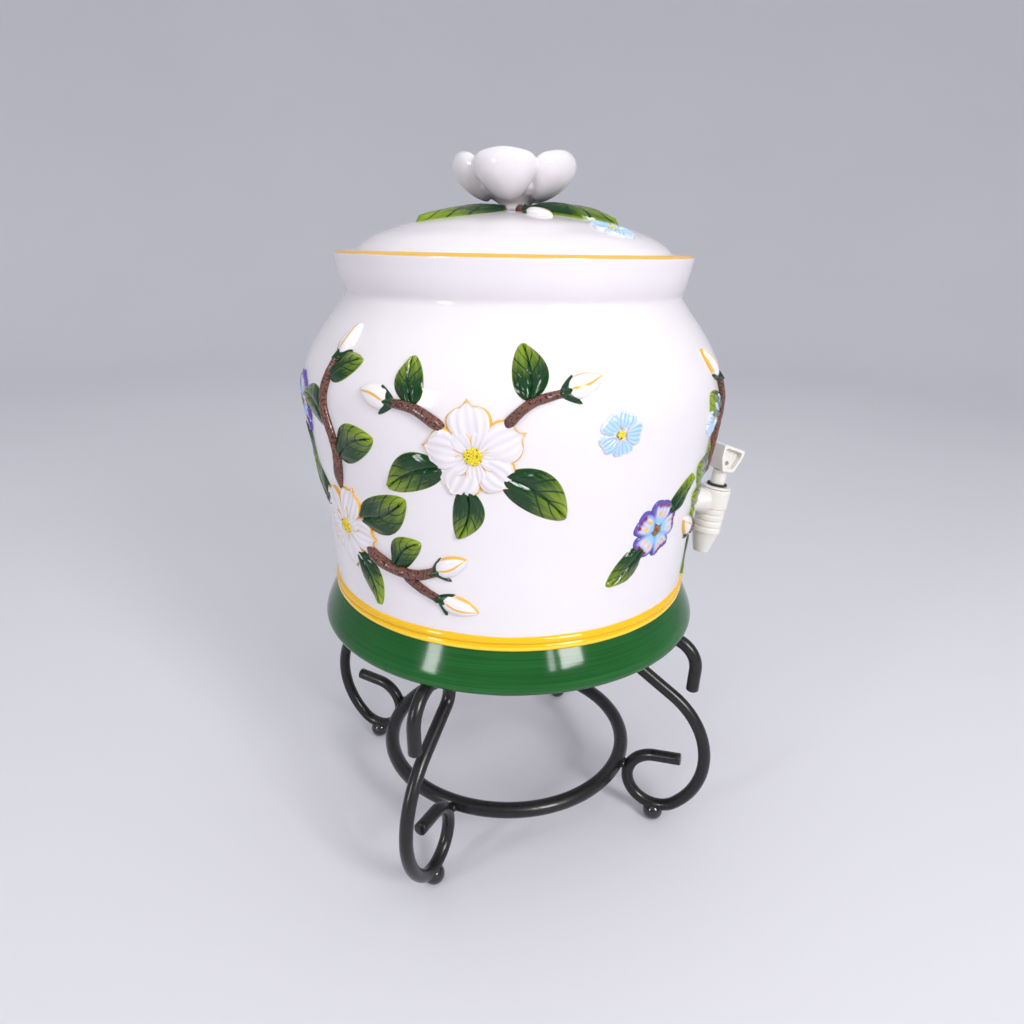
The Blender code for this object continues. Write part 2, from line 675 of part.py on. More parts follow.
def build_tap_mount(crock):
    """The shank through the wall, its washers and nut, and the barrel outside."""
    plastic = (0.80, 0.79, 0.75)
    rubber = (0.03, 0.03, 0.03)
    mount = empty("tap_mount", crock, (0.0, -TAP_SPOT_RADIUS, TAP_HEIGHT), TAP_TILT)
    reach = TAP_REACH + SPOT_DEPTH
    valve = empty("valve_axis", mount, (0.0, -reach, 0.0))
    washer_end = -GAP
    washer_start = washer_end - WASHER_THICKNESS
    flange_end = washer_start - GAP
    inner_start = TAP_LAND + GAP
    inner_end = inner_start + WASHER_THICKNESS
    nut_start = inner_end + GAP
    nut_end = nut_start + NUT_THICKNESS
    bore = SHANK_RADIUS + GAP
    dress(ring_piece("outer_washer", bore, WASHER_RADIUS, washer_start, washer_end, mount,
                     CAP_SIDES), "outer_washer_rubber", rubber, 0.6)
    dress(ring_piece("inner_washer", bore, WASHER_RADIUS, inner_start, inner_end, mount,
                     CAP_SIDES), "inner_washer_rubber", rubber, 0.6)
    nut_radius = NUT_HALF_WIDTH / math.cos(math.pi / 6)
    dress(ring_piece("lock_nut", bore, nut_radius, nut_start, nut_end, mount, 6),
          "lock_nut_plastic", plastic, 0.35)

    body = turned("tap_body", barrel_outline(), CAP_SIDES)
    shank = cylinder("shank", SHANK_RADIUS, CHAMBER_RADIUS, reach + nut_end + SHANK_END, "Y",
                     SMALL_SIDES)
    combine(body, shank, "UNION")
    flange = cylinder("flange", FLANGE_RADIUS, reach + flange_end - FLANGE_THICKNESS,
                      reach + flange_end, "Y", CAP_SIDES)
    combine(body, flange, "UNION")
    chamber = cylinder("chamber", CHAMBER_RADIUS, BARREL_TOP - CHAMBER_DEPTH,
                       BARREL_TOP + OVERRUN, "Z", CAP_SIDES)
    combine(body, chamber, "DIFFERENCE")
    spout_end = BARREL_TOP - BARREL_STEP - SLEEVE_LENGTH - SPOUT_LENGTH
    outlet = cylinder("outlet", OUTLET_RADIUS, spout_end - OVERRUN, BARREL_TOP, "Z", SMALL_SIDES)
    combine(body, outlet, "DIFFERENCE")
    inlet = cylinder("inlet", SHANK_BORE, 0.0, reach + nut_end + SHANK_END + OVERRUN, "Y",
                     SMALL_SIDES)
    combine(body, inlet, "DIFFERENCE")
    bpy.context.view_layer.update()
    settle(body)
    body.parent = valve
    dress(body, "tap_body_plastic", plastic, 0.35)
    return valve


def build_valve(valve):
    """The cap with its neck, the stem that lifts through it and the seat washer."""
    plastic = (0.80, 0.79, 0.75)
    bore = STEM_RADIUS + GAP
    cap_start = BARREL_TOP + GAP
    cap_end = cap_start + CAP_THICKNESS
    neck_end = cap_end + NECK_HEIGHT
    plug_end = cap_start - CAP_PLUG_LENGTH
    plug_radius = CHAMBER_RADIUS - GAP
    cap = turned("tap_cap", [
        (bore, neck_end), (NECK_RADIUS, neck_end), (NECK_RADIUS, cap_end),
        (CAP_RADIUS, cap_end), (CAP_RADIUS, cap_start), (plug_radius, cap_start),
        (plug_radius, plug_end), (bore, plug_end)], CAP_SIDES, valve, loop=True)
    dress(settle(cap), "tap_cap_plastic", plastic, 0.35)
    ring_middle = cap_end + GAP + NECK_RING_RADIUS
    ring = torus("neck_ring", NECK_RADIUS + GAP + NECK_RING_RADIUS, NECK_RING_RADIUS,
                 SMALL_SIDES, 6, valve, (0.0, 0.0, ring_middle))
    dress(settle(ring, 70.0), "neck_ring_rubber", (0.02, 0.02, 0.02), 0.5)

    seat = BARREL_TOP - CHAMBER_DEPTH
    washer_low = seat + GAP
    washer_high = washer_low + SEAT_WASHER_THICKNESS
    disc_low = washer_high + GAP
    disc_high = disc_low + STEM_DISC_THICKNESS
    heel = neck_end + GAP
    pin = heel + PIN_HEIGHT
    stem = turned("tap_stem", [
        (0.0, pin), (STEM_RADIUS, pin), (STEM_RADIUS, disc_high), (STEM_DISC_RADIUS, disc_high),
        (STEM_DISC_RADIUS, disc_low), (STEM_NIB_RADIUS, disc_low),
        (STEM_NIB_RADIUS, disc_low - STEM_NIB_LENGTH), (0.0, disc_low - STEM_NIB_LENGTH)],
        SMALL_SIDES)
    half = EYE_THICKNESS / 2
    at_pin = (0.0, 0.0, pin)
    combine(stem, cylinder("eye", EYE_RADIUS, -half, half, "X", SMALL_SIDES, None, at_pin),
            "UNION")
    combine(stem, cylinder("eye_hole", PIN_RADIUS + GAP, -EYE_THICKNESS, EYE_THICKNESS, "X",
                           SMALL_SIDES, None, at_pin), "DIFFERENCE")
    bpy.context.view_layer.update()
    settle(stem)
    stem.parent = valve
    dress(stem, "tap_stem_plastic", plastic, 0.35)
    washer = turned("seat_washer", [
        (STEM_NIB_RADIUS + GAP, washer_high), (SEAT_WASHER_RADIUS, washer_high),
        (SEAT_WASHER_RADIUS, washer_low), (STEM_NIB_RADIUS + GAP, washer_low)],
        SMALL_SIDES, valve, loop=True)
    dress(settle(washer), "seat_washer_rubber", (0.03, 0.03, 0.03), 0.6)

    low = disc_high + GAP + SPRING_WIRE
    high = plug_end - GAP - SPRING_WIRE
    count = SPRING_TURNS * SPRING_POINTS
    coil = []
    for i in range(count + 1):
        angle = 2 * math.pi * i / SPRING_POINTS
        coil.append((SPRING_RADIUS * math.cos(angle), SPRING_RADIUS * math.sin(angle),
                     low + (high - low) * i / count))
    spring = tube("tap_spring", coil, SPRING_WIRE, 1, valve)
    dress(spring, "tap_spring_steel", (0.6, 0.6, 0.62), 0.3, 1.0)
    return pin


def rounded(corners, radius, steps=3):
    """A closed outline with each corner swapped for a short curve."""
    row = []
    for before, here, after in zip(corners[-1:] + corners[:-1], corners,
                                   corners[1:] + corners[:1]):
        here = Vector(here)
        start = here + (Vector(before) - here).normalized() * radius
        end = here + (Vector(after) - here).normalized() * radius
        for i in range(steps + 1):
            t = i / steps
            row.append(start * (1 - t) ** 2 + here * 2 * t * (1 - t) + end * t ** 2)
    return row


def outline_solid(name, outline, half_depth, middle=0.0):
    """A flat outline of (front, up) points given its depth along X."""
    curve = bpy.data.curves.new(name, "CURVE")
    curve.dimensions = "2D"
    curve.fill_mode = "BOTH"
    curve.extrude = half_depth
    line = curve.splines.new("POLY")
    line.points.add(len(outline) - 1)
    line.use_cyclic_u = True
    for spot, point in zip(line.points, outline):
        spot.co = (point[0], point[1], 0.0, 1.0)
    made = curve_to_mesh(place(name, curve))
    turn = Matrix(((0.0, 0.0, 1.0, middle), (-1.0, 0.0, 0.0, 0.0),
                   (0.0, 1.0, 0.0, 0.0), (0.0, 0.0, 0.0, 1.0)))
    made.data.transform(turn)
    shape = bmesh.new()
    shape.from_mesh(made.data)
    bmesh.ops.recalc_face_normals(shape, faces=shape.faces)
    shape.to_mesh(made.data)
    shape.free()
    return made


def build_lever(valve, pin):
    """The thumb lever on its pin, with a pocket in each side and a slot for the stem."""
    plastic = (0.80, 0.79, 0.75)
    corners = [
        (-LEVER_HEEL_BACK, -PIN_HEIGHT),
        (LEVER_HEEL_FRONT, -PIN_HEIGHT),
        (LEVER_REACH - LEVER_CORNER / 4, LEVER_TOP * 0.4),
        (LEVER_REACH, LEVER_TOP * 0.75),
        (-LEVER_BACK, LEVER_TOP),
        (-LEVER_BACK, LEVER_TOP * 0.3),
    ]
    lever = outline_solid("lever", rounded(corners, LEVER_CORNER), LEVER_WIDTH / 2)
    middle = Vector((0.0, 0.0))
    for corner in corners:
        middle += Vector(corner) / len(corners)
    pocket = [tuple(middle + (Vector(c) - middle) * LEVER_POCKET_SHARE) for c in corners]
    for side in (-1, 1):
        cut = outline_solid(f"lever_pocket_{side + 2}",
                            rounded(pocket, LEVER_CORNER * LEVER_POCKET_SHARE),
                            LEVER_POCKET, side * LEVER_WIDTH / 2)
        combine(lever, cut, "DIFFERENCE")
    half = EYE_THICKNESS / 2 + GAP
    room = EYE_RADIUS + GAP * 2
    slot = box("lever_slot", (-half, -LEVER_REACH - OVERRUN, -PIN_HEIGHT - OVERRUN),
               (half, room, 0.0))
    combine(lever, slot, "DIFFERENCE")
    combine(lever, cylinder("eye_room", room, -half, half, "X", SMALL_SIDES), "DIFFERENCE")
    bore = cylinder("pin_bore", PIN_RADIUS + GAP, -LEVER_WIDTH, LEVER_WIDTH, "X", SMALL_SIDES)
    combine(lever, bore, "DIFFERENCE")
    bpy.context.view_layer.update()
    settle(lever)
    lever.parent = valve
    lever.location = (0.0, 0.0, pin)
    dress(lever, "lever_plastic", plastic, 0.35)
    reach = LEVER_WIDTH / 2 - LEVER_POCKET
    pin_piece = cylinder("lever_pin", PIN_RADIUS, -reach, reach, "X", SMALL_SIDES, valve,
                         (0.0, 0.0, pin))
    dress(settle(pin_piece), "lever_pin_steel", (0.6, 0.6, 0.62), 0.3, 1.0)


root = empty("pot_axis", None, (0.0, POT_Y, 0.0))
build_stand(root)
crock_piece = build_crock(root)
build_lid(crock_piece)
valve_frame = build_tap_mount(crock_piece)
pin_height = build_valve(valve_frame)
build_lever(valve_frame, pin_height)
bpy.context.view_layer.update()
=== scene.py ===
"""Dress of a lidded drink crock with a push-lever tap on a scrolled rod stand.

Lengths are in metres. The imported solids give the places; each operator models and
glazes one group of pieces around them.
"""
import json
import math
import random

import bmesh
import bpy
from mathutils import Matrix, Vector, noise


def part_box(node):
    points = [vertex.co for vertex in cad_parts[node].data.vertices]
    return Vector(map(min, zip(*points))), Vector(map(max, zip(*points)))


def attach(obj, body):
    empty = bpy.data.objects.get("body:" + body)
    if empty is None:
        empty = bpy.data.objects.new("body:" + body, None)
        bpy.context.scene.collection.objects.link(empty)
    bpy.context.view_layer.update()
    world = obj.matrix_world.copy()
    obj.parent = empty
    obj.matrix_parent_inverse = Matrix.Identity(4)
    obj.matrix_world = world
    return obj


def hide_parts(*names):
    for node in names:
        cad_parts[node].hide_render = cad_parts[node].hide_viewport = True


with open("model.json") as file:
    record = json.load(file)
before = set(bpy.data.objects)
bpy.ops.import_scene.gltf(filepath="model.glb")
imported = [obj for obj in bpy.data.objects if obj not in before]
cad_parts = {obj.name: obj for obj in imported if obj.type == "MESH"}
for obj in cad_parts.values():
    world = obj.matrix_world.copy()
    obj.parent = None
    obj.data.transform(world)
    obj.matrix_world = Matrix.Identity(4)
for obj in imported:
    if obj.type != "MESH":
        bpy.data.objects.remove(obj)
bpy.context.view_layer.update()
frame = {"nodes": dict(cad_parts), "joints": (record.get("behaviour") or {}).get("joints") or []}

bl_info = {
    "name": "Clay water pot with tap",
    "version": (1, 0, 0),
    "blender": (4, 5, 0),
    "location": "View3D > Sidebar > Water Pot",
    "description": "Models and glazes a drink crock with moulded blossoms, its stand and its tap",
    "category": "Object",
}

MM = 0.001
ON_AXIS = 0.0001 * MM
JOINTS = {joint["name"]: joint for joint in frame["joints"]}

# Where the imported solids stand
RING_LOW, RING_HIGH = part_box("lower_ring")
AXIS = Vector(((RING_LOW.x + RING_HIGH.x) / 2, (RING_LOW.y + RING_HIGH.y) / 2, 0.0))
CROCK_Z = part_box("crock")[0].z
PIN = Vector(JOINTS["lever_press"]["pos_m"])
VALVE_AXIS = Vector(JOINTS["stem_lift"]["axis"])
TAP_TILT = math.atan2(-VALVE_AXIS.y, VALVE_AXIS.z)

# Crock outline, as in the part's source
CROCK_HEIGHT = 222.9 * MM
BELLY_RADIUS = 124.4 * MM
CROCK_WALL = 8.5 * MM
FOOT_INNER_RADIUS = 98.0 * MM
FOOT_OUTER_RADIUS = 115.5 * MM
FOOT_RECESS = 4.0 * MM
FLOOR_TOP = 12.5 * MM
FLOOR_ROUND = 12.0 * MM
SKIRT_RADIUS = 120.8 * MM
SKIRT_HEIGHT = 23.4 * MM
BEAD_HEIGHT = 8.4 * MM
BEAD_RADIUS = 113.2 * MM
BEAD_DEPTH = 1.1 * MM
BEAD_SPLIT = 0.48
RIM_RADIUS = 102.7 * MM
RIM_ROUND = 2.2 * MM
SEAT_RADIUS = 95.0 * MM
SEAT_DEPTH = 7.7 * MM
THROAT_RADIUS = 88.0 * MM
THROAT_END = 23.5 * MM
THROAT_ROUND = 1.2 * MM
SEAT_ROUND = 0.8 * MM
CREASE_ROUND = 2.2 * MM
CROCK_SHARP = 30.0
WALL_SHARES = (
    (0.144, 0.897), (0.250, 0.912), (0.341, 0.925), (0.453, 0.952), (0.565, 0.981),
    (0.655, 1.000), (0.700, 0.9935), (0.745, 0.971), (0.812, 0.901), (0.861, 0.831),
    (0.900, 0.782),
)
SKIRT_SHARES = ((0.04, 0.72), (0.15, 1.00), (0.32, 0.84), (0.56, 0.62), (0.80, 0.29))
NECK_SHARES = ((0.20, 0.33), (0.52, 0.66))

# Lid outline
LID_EDGE_RADIUS = 94.4 * MM
LID_EDGE = 3.0 * MM
LID_RISE = 29.5 * MM
LID_THICKNESS = 5.5 * MM
LID_LIP_RADIUS = 86.5 * MM
LID_LIP_WIDTH = 5.0 * MM
LID_LIP_DROP = 7.0 * MM
LID_ROUND = 1.0 * MM
LIP_CHAMFER = 0.8 * MM
DOME_SHARES = (
    (0.985, 0.07), (0.955, 0.18), (0.925, 0.29), (0.850, 0.46), (0.740, 0.61),
    (0.610, 0.75), (0.420, 0.88), (0.220, 0.97),
)
LID_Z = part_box("lid")[0].z + LID_LIP_DROP
KNOB_WAIST_RADIUS = 8.6 * MM
KNOB_WAIST_HEIGHT = 5.2 * MM
KNOB_CUP_RADIUS = 27.0 * MM
KNOB_CUP_HEIGHT = 12.0 * MM
CUP_SHARES = ((0.74, 0.78), (0.87, 0.66), (0.83, 0.46), (0.68, 0.23), (0.48, 0.05))
PETAL_FIRST_AZIMUTH = 144.0
PETAL_OFFSET = 24.0 * MM
PETAL_HALF_WIDTH = 16.2 * MM
PETAL_HALF_HEIGHT = 12.6 * MM
PETAL_HALF_THICKNESS = 9.0 * MM
PETAL_LEAN = 6.5 * MM

# Stand rods
LEG_AZIMUTHS = (45.0, 135.0, 225.0, 315.0)
LEG_ROD_RADIUS = 4.0 * MM
RING_ROD_RADIUS = 4.9 * MM
LOWER_RING_RADIUS = 82.9 * MM
LOWER_RING_HEIGHT = 38.4 * MM
ROD_LIFT = 7.3 * MM
LOW_CURL_RADIUS = 19.7 * MM
LOW_CURL_TAIL = 17.6 * MM
LOW_CURL_HEADING = 187.0
BALL_RADIUS = 6.7 * MM
BALL_CENTRE = 6.2 * MM
ROD_GAP = 0.3 * MM
ROD_SIDES = 24
RING_STEPS = 160
WELD_SIZE = (2.3 * MM, 2.3 * MM, 2.7 * MM)
TOP_WELD_SIZE = (2.2 * MM, 2.2 * MM, 3.0 * MM)
# Collar of a ball foot: radius and height of its outline's points
COLLAR = (
    (0.0, 9.4 * MM), (3.4 * MM, 9.4 * MM), (4.3 * MM, 10.1 * MM), (3.7 * MM, 11.0 * MM),
    (0.0, 11.6 * MM),
)
# Bends and runs of a leg after its curl's tail: radius and turn, or length and None
LEG_MOVES = (
    (19.7, 216.5), (53.1, 103.5), (29.3, None), (10.6, -77.7), (20.4, -72.1),
    (3.2, None), (18.4, -89.5), (14.9, None),
)

# Tap, measured along the valve's axis from the shank's centre line
PIN_HEIGHT = 30.0 * MM
TAP_REACH = 49.4 * MM
INNER_FACE = TAP_REACH + 4.9 * MM
FIT_GAP = 0.3 * MM
BARREL_TOP = 10.1 * MM
BARREL_RADIUS = 11.0 * MM
BARREL_STEP = -4.0 * MM
SLEEVE_RADIUS = 10.4 * MM
SLEEVE_LENGTH = 19.5 * MM
SPOUT_TOP_RADIUS = 9.6 * MM
SPOUT_END_RADIUS = 5.6 * MM
SPOUT_LENGTH = 15.5 * MM
OUTLET_RADIUS = 4.0 * MM
CHAMBER_RADIUS = 7.5 * MM
CHAMBER_LOW = -14.0 * MM
CAP_LOW = 10.4 * MM
CAP_HIGH = 12.0 * MM
CAP_RADIUS = 10.4 * MM
NECK_RADIUS = 5.2 * MM
NECK_TOP = 24.2 * MM
STEM_BORE = 2.7 * MM
SHANK_RADIUS = 8.0 * MM
SHANK_BORE = 4.5 * MM
FLANGE_RADIUS = 15.0 * MM
FLANGE_THICKNESS = 3.0 * MM
WASHER_RADIUS = 15.5 * MM
WASHER_THICKNESS = 2.5 * MM
RING_WIRE = 0.9 * MM
PLUG_END = 4.9 * MM
SHANK_END = TAP_REACH + 19.6 * MM
THREAD_PITCH = 1.5 * MM
THREAD_DEPTH = 0.5 * MM
SPOT_RADIUS = 16.8 * MM

PETALS = 5
PETAL_TURN = 360.0 / PETALS
GOLDEN_ANGLE = 2.39996

# Moulded blossoms: azimuth, share of the crock's height, turn of the first petal
WHITE_BLOSSOMS = (
    (150.0, 0.60, 100.0), (108.0, 0.36, 62.0), (244.0, 0.34, 84.0),
    (356.0, 0.62, 75.0), (30.0, 0.36, 95.0), (306.0, 0.62, 50.0),
)
VIOLET_BLOSSOMS = ((200.0, 0.38, 80.0), (88.0, 0.64, 64.0), (335.0, 0.33, 90.0))
BLUE_BLOSSOMS = ((183.0, 0.64, 70.0), (222.0, 0.63, 95.0), (45.0, 0.66, 60.0))

# Leaves on the wall: azimuth and height share of the blossom they leave, heading,
# distance, length, half width and sideways bend in mm
LEAVES = (
    (150.0, 0.60, -36.0, 17.0, 36.0, 10.0, 3.0),
    (150.0, 0.60, 205.0, 17.0, 33.0, 9.0, -3.0),
    (150.0, 0.60, 258.0, 18.0, 26.0, 7.5, 3.0),
    (108.0, 0.36, 28.0, 17.0, 34.0, 10.0, -3.0),
    (108.0, 0.36, -62.0, 15.0, 30.0, 8.0, 2.5),
    (108.0, 0.36, 150.0, 17.0, 33.0, 9.5, 3.0),
    (244.0, 0.34, 112.0, 17.0, 38.0, 10.0, 3.0),
    (244.0, 0.34, 160.0, 17.0, 30.0, 8.5, -2.5),
    (244.0, 0.34, 248.0, 16.0, 30.0, 8.0, 2.5),
    (356.0, 0.62, 215.0, 17.0, 34.0, 9.5, 3.0),
    (356.0, 0.62, -38.0, 17.0, 32.0, 9.0, -3.0),
    (30.0, 0.36, 160.0, 17.0, 34.0, 9.5, 3.0),
    (30.0, 0.36, 10.0, 17.0, 34.0, 10.0, -3.0),
    (30.0, 0.36, -80.0, 15.0, 27.0, 7.5, 2.5),
    (306.0, 0.62, 200.0, 17.0, 34.0, 9.5, -3.0),
    (306.0, 0.62, -30.0, 17.0, 33.0, 9.0, 3.0),
    (306.0, 0.62, 265.0, 18.0, 30.0, 8.0, 2.0),
    (88.0, 0.64, 248.0, 12.0, 29.0, 8.0, 2.5),
    (88.0, 0.64, 170.0, 12.0, 28.0, 7.5, -2.0),
    (200.0, 0.38, 222.0, 12.0, 26.0, 7.0, 2.0),
    (200.0, 0.38, 40.0, 12.0, 25.0, 6.5, -2.0),
    (335.0, 0.33, 215.0, 12.0, 26.0, 7.0, -2.0),
    (335.0, 0.33, 30.0, 12.0, 27.0, 7.0, 2.0),
)
# Twigs on the wall: azimuth and height share of their root, rod radius in mm, points in
# mm across and up, whether a bud ends them, and leaves: share along, turn, length, half
# width and bend
TWIGS = (
    (108.0, 0.36, 2.9, ((15.0, -8.0), (32.0, -15.0), (49.0, -17.0), (62.0, -13.0)), True,
     ((0.42, 58.0, 25.0, 8.0, 3.0),)),
    (108.0, 0.36, 2.3, ((42.0, -17.0), (53.0, -24.0), (64.0, -29.0)), True, ()),
    (108.0, 0.36, 2.5, ((-2.0, 20.0), (4.0, 44.0), (-2.0, 70.0), (4.0, 94.0)), True,
     ((0.30, -52.0, 32.0, 10.0, 3.0), (0.52, 50.0, 31.0, 9.5, -3.0),
      (0.80, -48.0, 25.0, 7.5, 2.0))),
    (150.0, 0.60, 2.6, ((-14.0, 12.0), (-28.0, 20.0), (-42.0, 22.0)), True,
     ((0.55, -62.0, 24.0, 8.0, 2.0),)),
    (150.0, 0.60, 2.2, ((14.0, 14.0), (26.0, 25.0), (42.0, 30.0)), True,
     ((0.50, 62.0, 28.0, 9.0, -2.0),)),
    (244.0, 0.34, 2.7, ((-9.0, 16.0), (-22.0, 38.0), (-27.0, 62.0), (-40.0, 86.0)), True,
     ((0.22, 46.0, 34.0, 10.0, 3.0), (0.48, -46.0, 33.0, 10.0, -3.0),
      (0.70, 44.0, 30.0, 9.0, 2.5))),
    (244.0, 0.34, 2.4, ((-15.0, -8.0), (-28.0, -10.0), (-38.0, -6.0)), True,
     ((0.50, -58.0, 21.0, 6.5, 2.0),)),
    (356.0, 0.62, 2.6, ((2.0, -20.0), (8.0, -36.0), (22.0, -48.0)), True,
     ((0.50, 55.0, 27.0, 8.5, 2.0),)),
    (30.0, 0.36, 2.8, ((-14.0, 14.0), (-22.0, 28.0), (-36.0, 38.0)), True,
     ((0.45, -55.0, 30.0, 9.0, -2.0), (0.80, 50.0, 23.0, 7.0, 2.0))),
    (306.0, 0.62, 2.7, ((18.0, 12.0), (32.0, 16.0), (46.0, 12.0)), True,
     ((0.60, 58.0, 29.0, 9.0, 2.0),)),
    (335.0, 0.33, 2.4, ((-4.0, 14.0), (-12.0, 28.0), (-10.0, 42.0)), False,
     ((0.45, -50.0, 25.0, 7.5, 2.0), (0.96, 8.0, 25.0, 7.5, 0.0))),
)
LEAF_GROWTH = 1.12
LID_LEAF_RISE = 1.3
VEIN_DEPTH = 0.34 * MM
VEIN_SLANT = 0.34
VEIN_PITCH = 15.0
RIB_DEPTH = 0.7 * MM
FLUTE_DEPTH = 0.17 * MM
RIDGE_RISE = 0.40 * MM
BUD_LENGTHS = (18.5, 21.0)
BUD_HALF_WIDTH = 5.8 * MM
BUD_RISE = 3.2 * MM
SEPAL_HALF_WIDTH = 2.5 * MM
# A bud's green cup: turn, length and rise of each sepal in mm
SEPALS = ((-46.0, 12.5, 2.6), (4.0, 9.5, 3.9), (48.0, 12.0, 2.6))
# On the lid: azimuth, distance from the axis in mm, heading from straight out, length,
# half width, bend and the rise of one side
LID_LEAVES = (
    (130.0, 10.0, -38.0, 53.0, 13.5, 4.0, -5.0),
    (104.0, 13.0, -20.0, 40.0, 9.5, -3.0, -3.0),
    (196.0, 10.0, 36.0, 53.0, 13.0, -4.0, 5.0),
    (224.0, 13.0, 12.0, 36.0, 9.0, 3.0, 3.0),
    (262.0, 14.0, -8.0, 45.0, 11.5, 3.0, -3.0),
    (306.0, 14.0, 10.0, 38.0, 10.0, -2.0, 3.0),
    (8.0, 14.0, 6.0, 47.0, 12.0, 3.0, 3.0),
    (48.0, 14.0, -6.0, 36.0, 9.5, -2.0, -3.0),
)
LID_TWIGS = (
    (84.0, 2.8, ((13.0, 0.0), (32.0, 3.0), (52.0, 0.0)), False),
    (164.0, 2.4, ((12.0, 2.0), (19.0, 1.0), (25.0, 4.0)), True),
    (334.0, 2.5, ((13.0, 0.0), (28.0, -3.0), (40.0, 0.0)), True),
)
LID_BLUE_BLOSSOMS = ((206.0, 68.0, 30.0), (28.0, 60.0, 80.0))


def tint(red, green, blue):
    """A colour as painters' charts give it, 0 to 255, as linear light."""
    row = []
    for value in (red, green, blue):
        share = value / 255
        row.append(share / 12.92 if share <= 0.04045 else ((share + 0.055) / 1.055) ** 2.4)
    return tuple(row)


def colour(name, description, value):
    return bpy.props.FloatVectorProperty(name=name, description=description, size=3,
                                         subtype="COLOR", min=0.0, max=1.0, default=value)


def length(name, description, value):
    return bpy.props.FloatProperty(name=name, description=description, default=value,
                                   unit="LENGTH", precision=5)


def power(name, description, value):
    return bpy.props.FloatProperty(name=name, description=description, default=value,
                                   min=0.0, unit="POWER")


class GlazeColours(bpy.types.PropertyGroup):
    white: colour("White glaze", "The crock's and the lid's ground", tint(233, 228, 230))
    # painted shade: this colour darkens the crock's neck just above the crease and the petals'
    # flutes and bases, where shade falls; on the crock and the lid it also gives random cloudy
    # tone to the white glaze
    shade: colour("Pooled white", "White glaze where it lies thick", tint(212, 205, 215))
    green: colour("Green band", "Foot band where the brush left most glaze", tint(8, 62, 20))
    green_light: colour("Green streak", "Foot band between the brush strokes", tint(34, 106, 44))
    yellow: colour("Yellow band", "Beaded band over the foot", tint(240, 186, 8))
    # partly a painted highlight: this pale yellow is laid along the lower bead's ridge where
    # light catches it, and also over random streaks in the glaze
    yellow_streak_and_highlight: colour("Yellow ridge", "Thin glaze on the beads' ridges", tint(255, 218, 70))
    ochre: colour("Ochre line", "Rim line and petal edges", tint(230, 178, 72))
    bisque: colour("Bare clay", "Unglazed foot ring", tint(224, 208, 186))
    leaf: colour("Leaf green", "Dark side of the leaves", tint(10, 56, 20))
    leaf_light: colour("Leaf tip", "Light side of the leaves", tint(146, 170, 36))
    bark: colour("Bark", "Twigs", tint(118, 76, 64))
    bark_dark: colour("Bark pits", "Stippled pits of the twigs", tint(50, 26, 24))
    violet: colour("Violet", "Violet blossoms' edges", tint(92, 80, 165))
    violet_light: colour("Pale violet", "Violet blossoms' middle", tint(206, 208, 238))
    sky: colour("Sky blue", "Blue blossoms", tint(146, 196, 238))
    crimson: colour("Crimson", "Dots on the violet blossoms", tint(150, 22, 50))
    pollen: colour("Pollen yellow", "Blossoms' eyes", tint(236, 224, 48))
    soot: colour("Black glaze", "Stripes and stipples", tint(20, 20, 22))


class ReliefSizes(bpy.types.PropertyGroup):
    white_petal: length("White petal", "Length of a white blossom's outer petal", 24.5 * MM)
    white_rise: length("White rise", "Height of a white blossom's petals", 1.7 * MM)
    violet_petal: length("Violet petal", "Length of a violet blossom's petal", 17.0 * MM)
    violet_rise: length("Violet rise", "Height of a violet blossom's petals", 1.5 * MM)
    blue_petal: length("Blue petal", "Length of a blue blossom's petal", 11.6 * MM)
    blue_rise: length("Blue rise", "Height of a blue blossom's petals", 1.2 * MM)
    leaf_rise: length("Leaf rise", "Height of a leaf above the wall", 1.9 * MM)
    sink: length("Sink", "How far the relief runs into the wall", 1.0 * MM)


class StandColours(bpy.types.PropertyGroup):
    paint: colour("Rod paint", "Dark graphite paint of the rods", tint(22, 21, 22))
    worn: colour("Thin paint", "Rod paint where it is rubbed thin", tint(38, 36, 36))
    ball: colour("Ball feet", "Black gloss of the ball feet", tint(14, 14, 16))


class TapColours(bpy.types.PropertyGroup):
    plastic: colour("Tap plastic", "Off-white moulded plastic", tint(233, 230, 223))
    plastic_warm: colour("Aged plastic", "Plastic where it has yellowed a little",
                         tint(222, 216, 202))
    rubber: colour("Rubber", "Washers and the neck's ring", tint(34, 33, 34))
    steel: colour("Steel", "Pin and spring", tint(190, 190, 194))


class StudioLook(bpy.types.PropertyGroup):
    floor: colour("Floor", "Floor and backdrop", tint(224, 223, 230))
    key_power: power("Right window", "Power of the main light", 9.5)
    fill_power: power("Left window", "Power of the second light", 3.6)
    ceiling_power: power("Ceiling", "Power of the broad top light", 5.5)
    sky_strength: bpy.props.FloatProperty(name="Sky", description="Strength of the even light",
                                          default=0.80, min=0.0)
    lens: bpy.props.FloatProperty(name="Lens", description="Focal length of the camera in mm",
                                  default=26.0, min=1.0)


# Shader nodes as sums -------------------------------------------------------------------

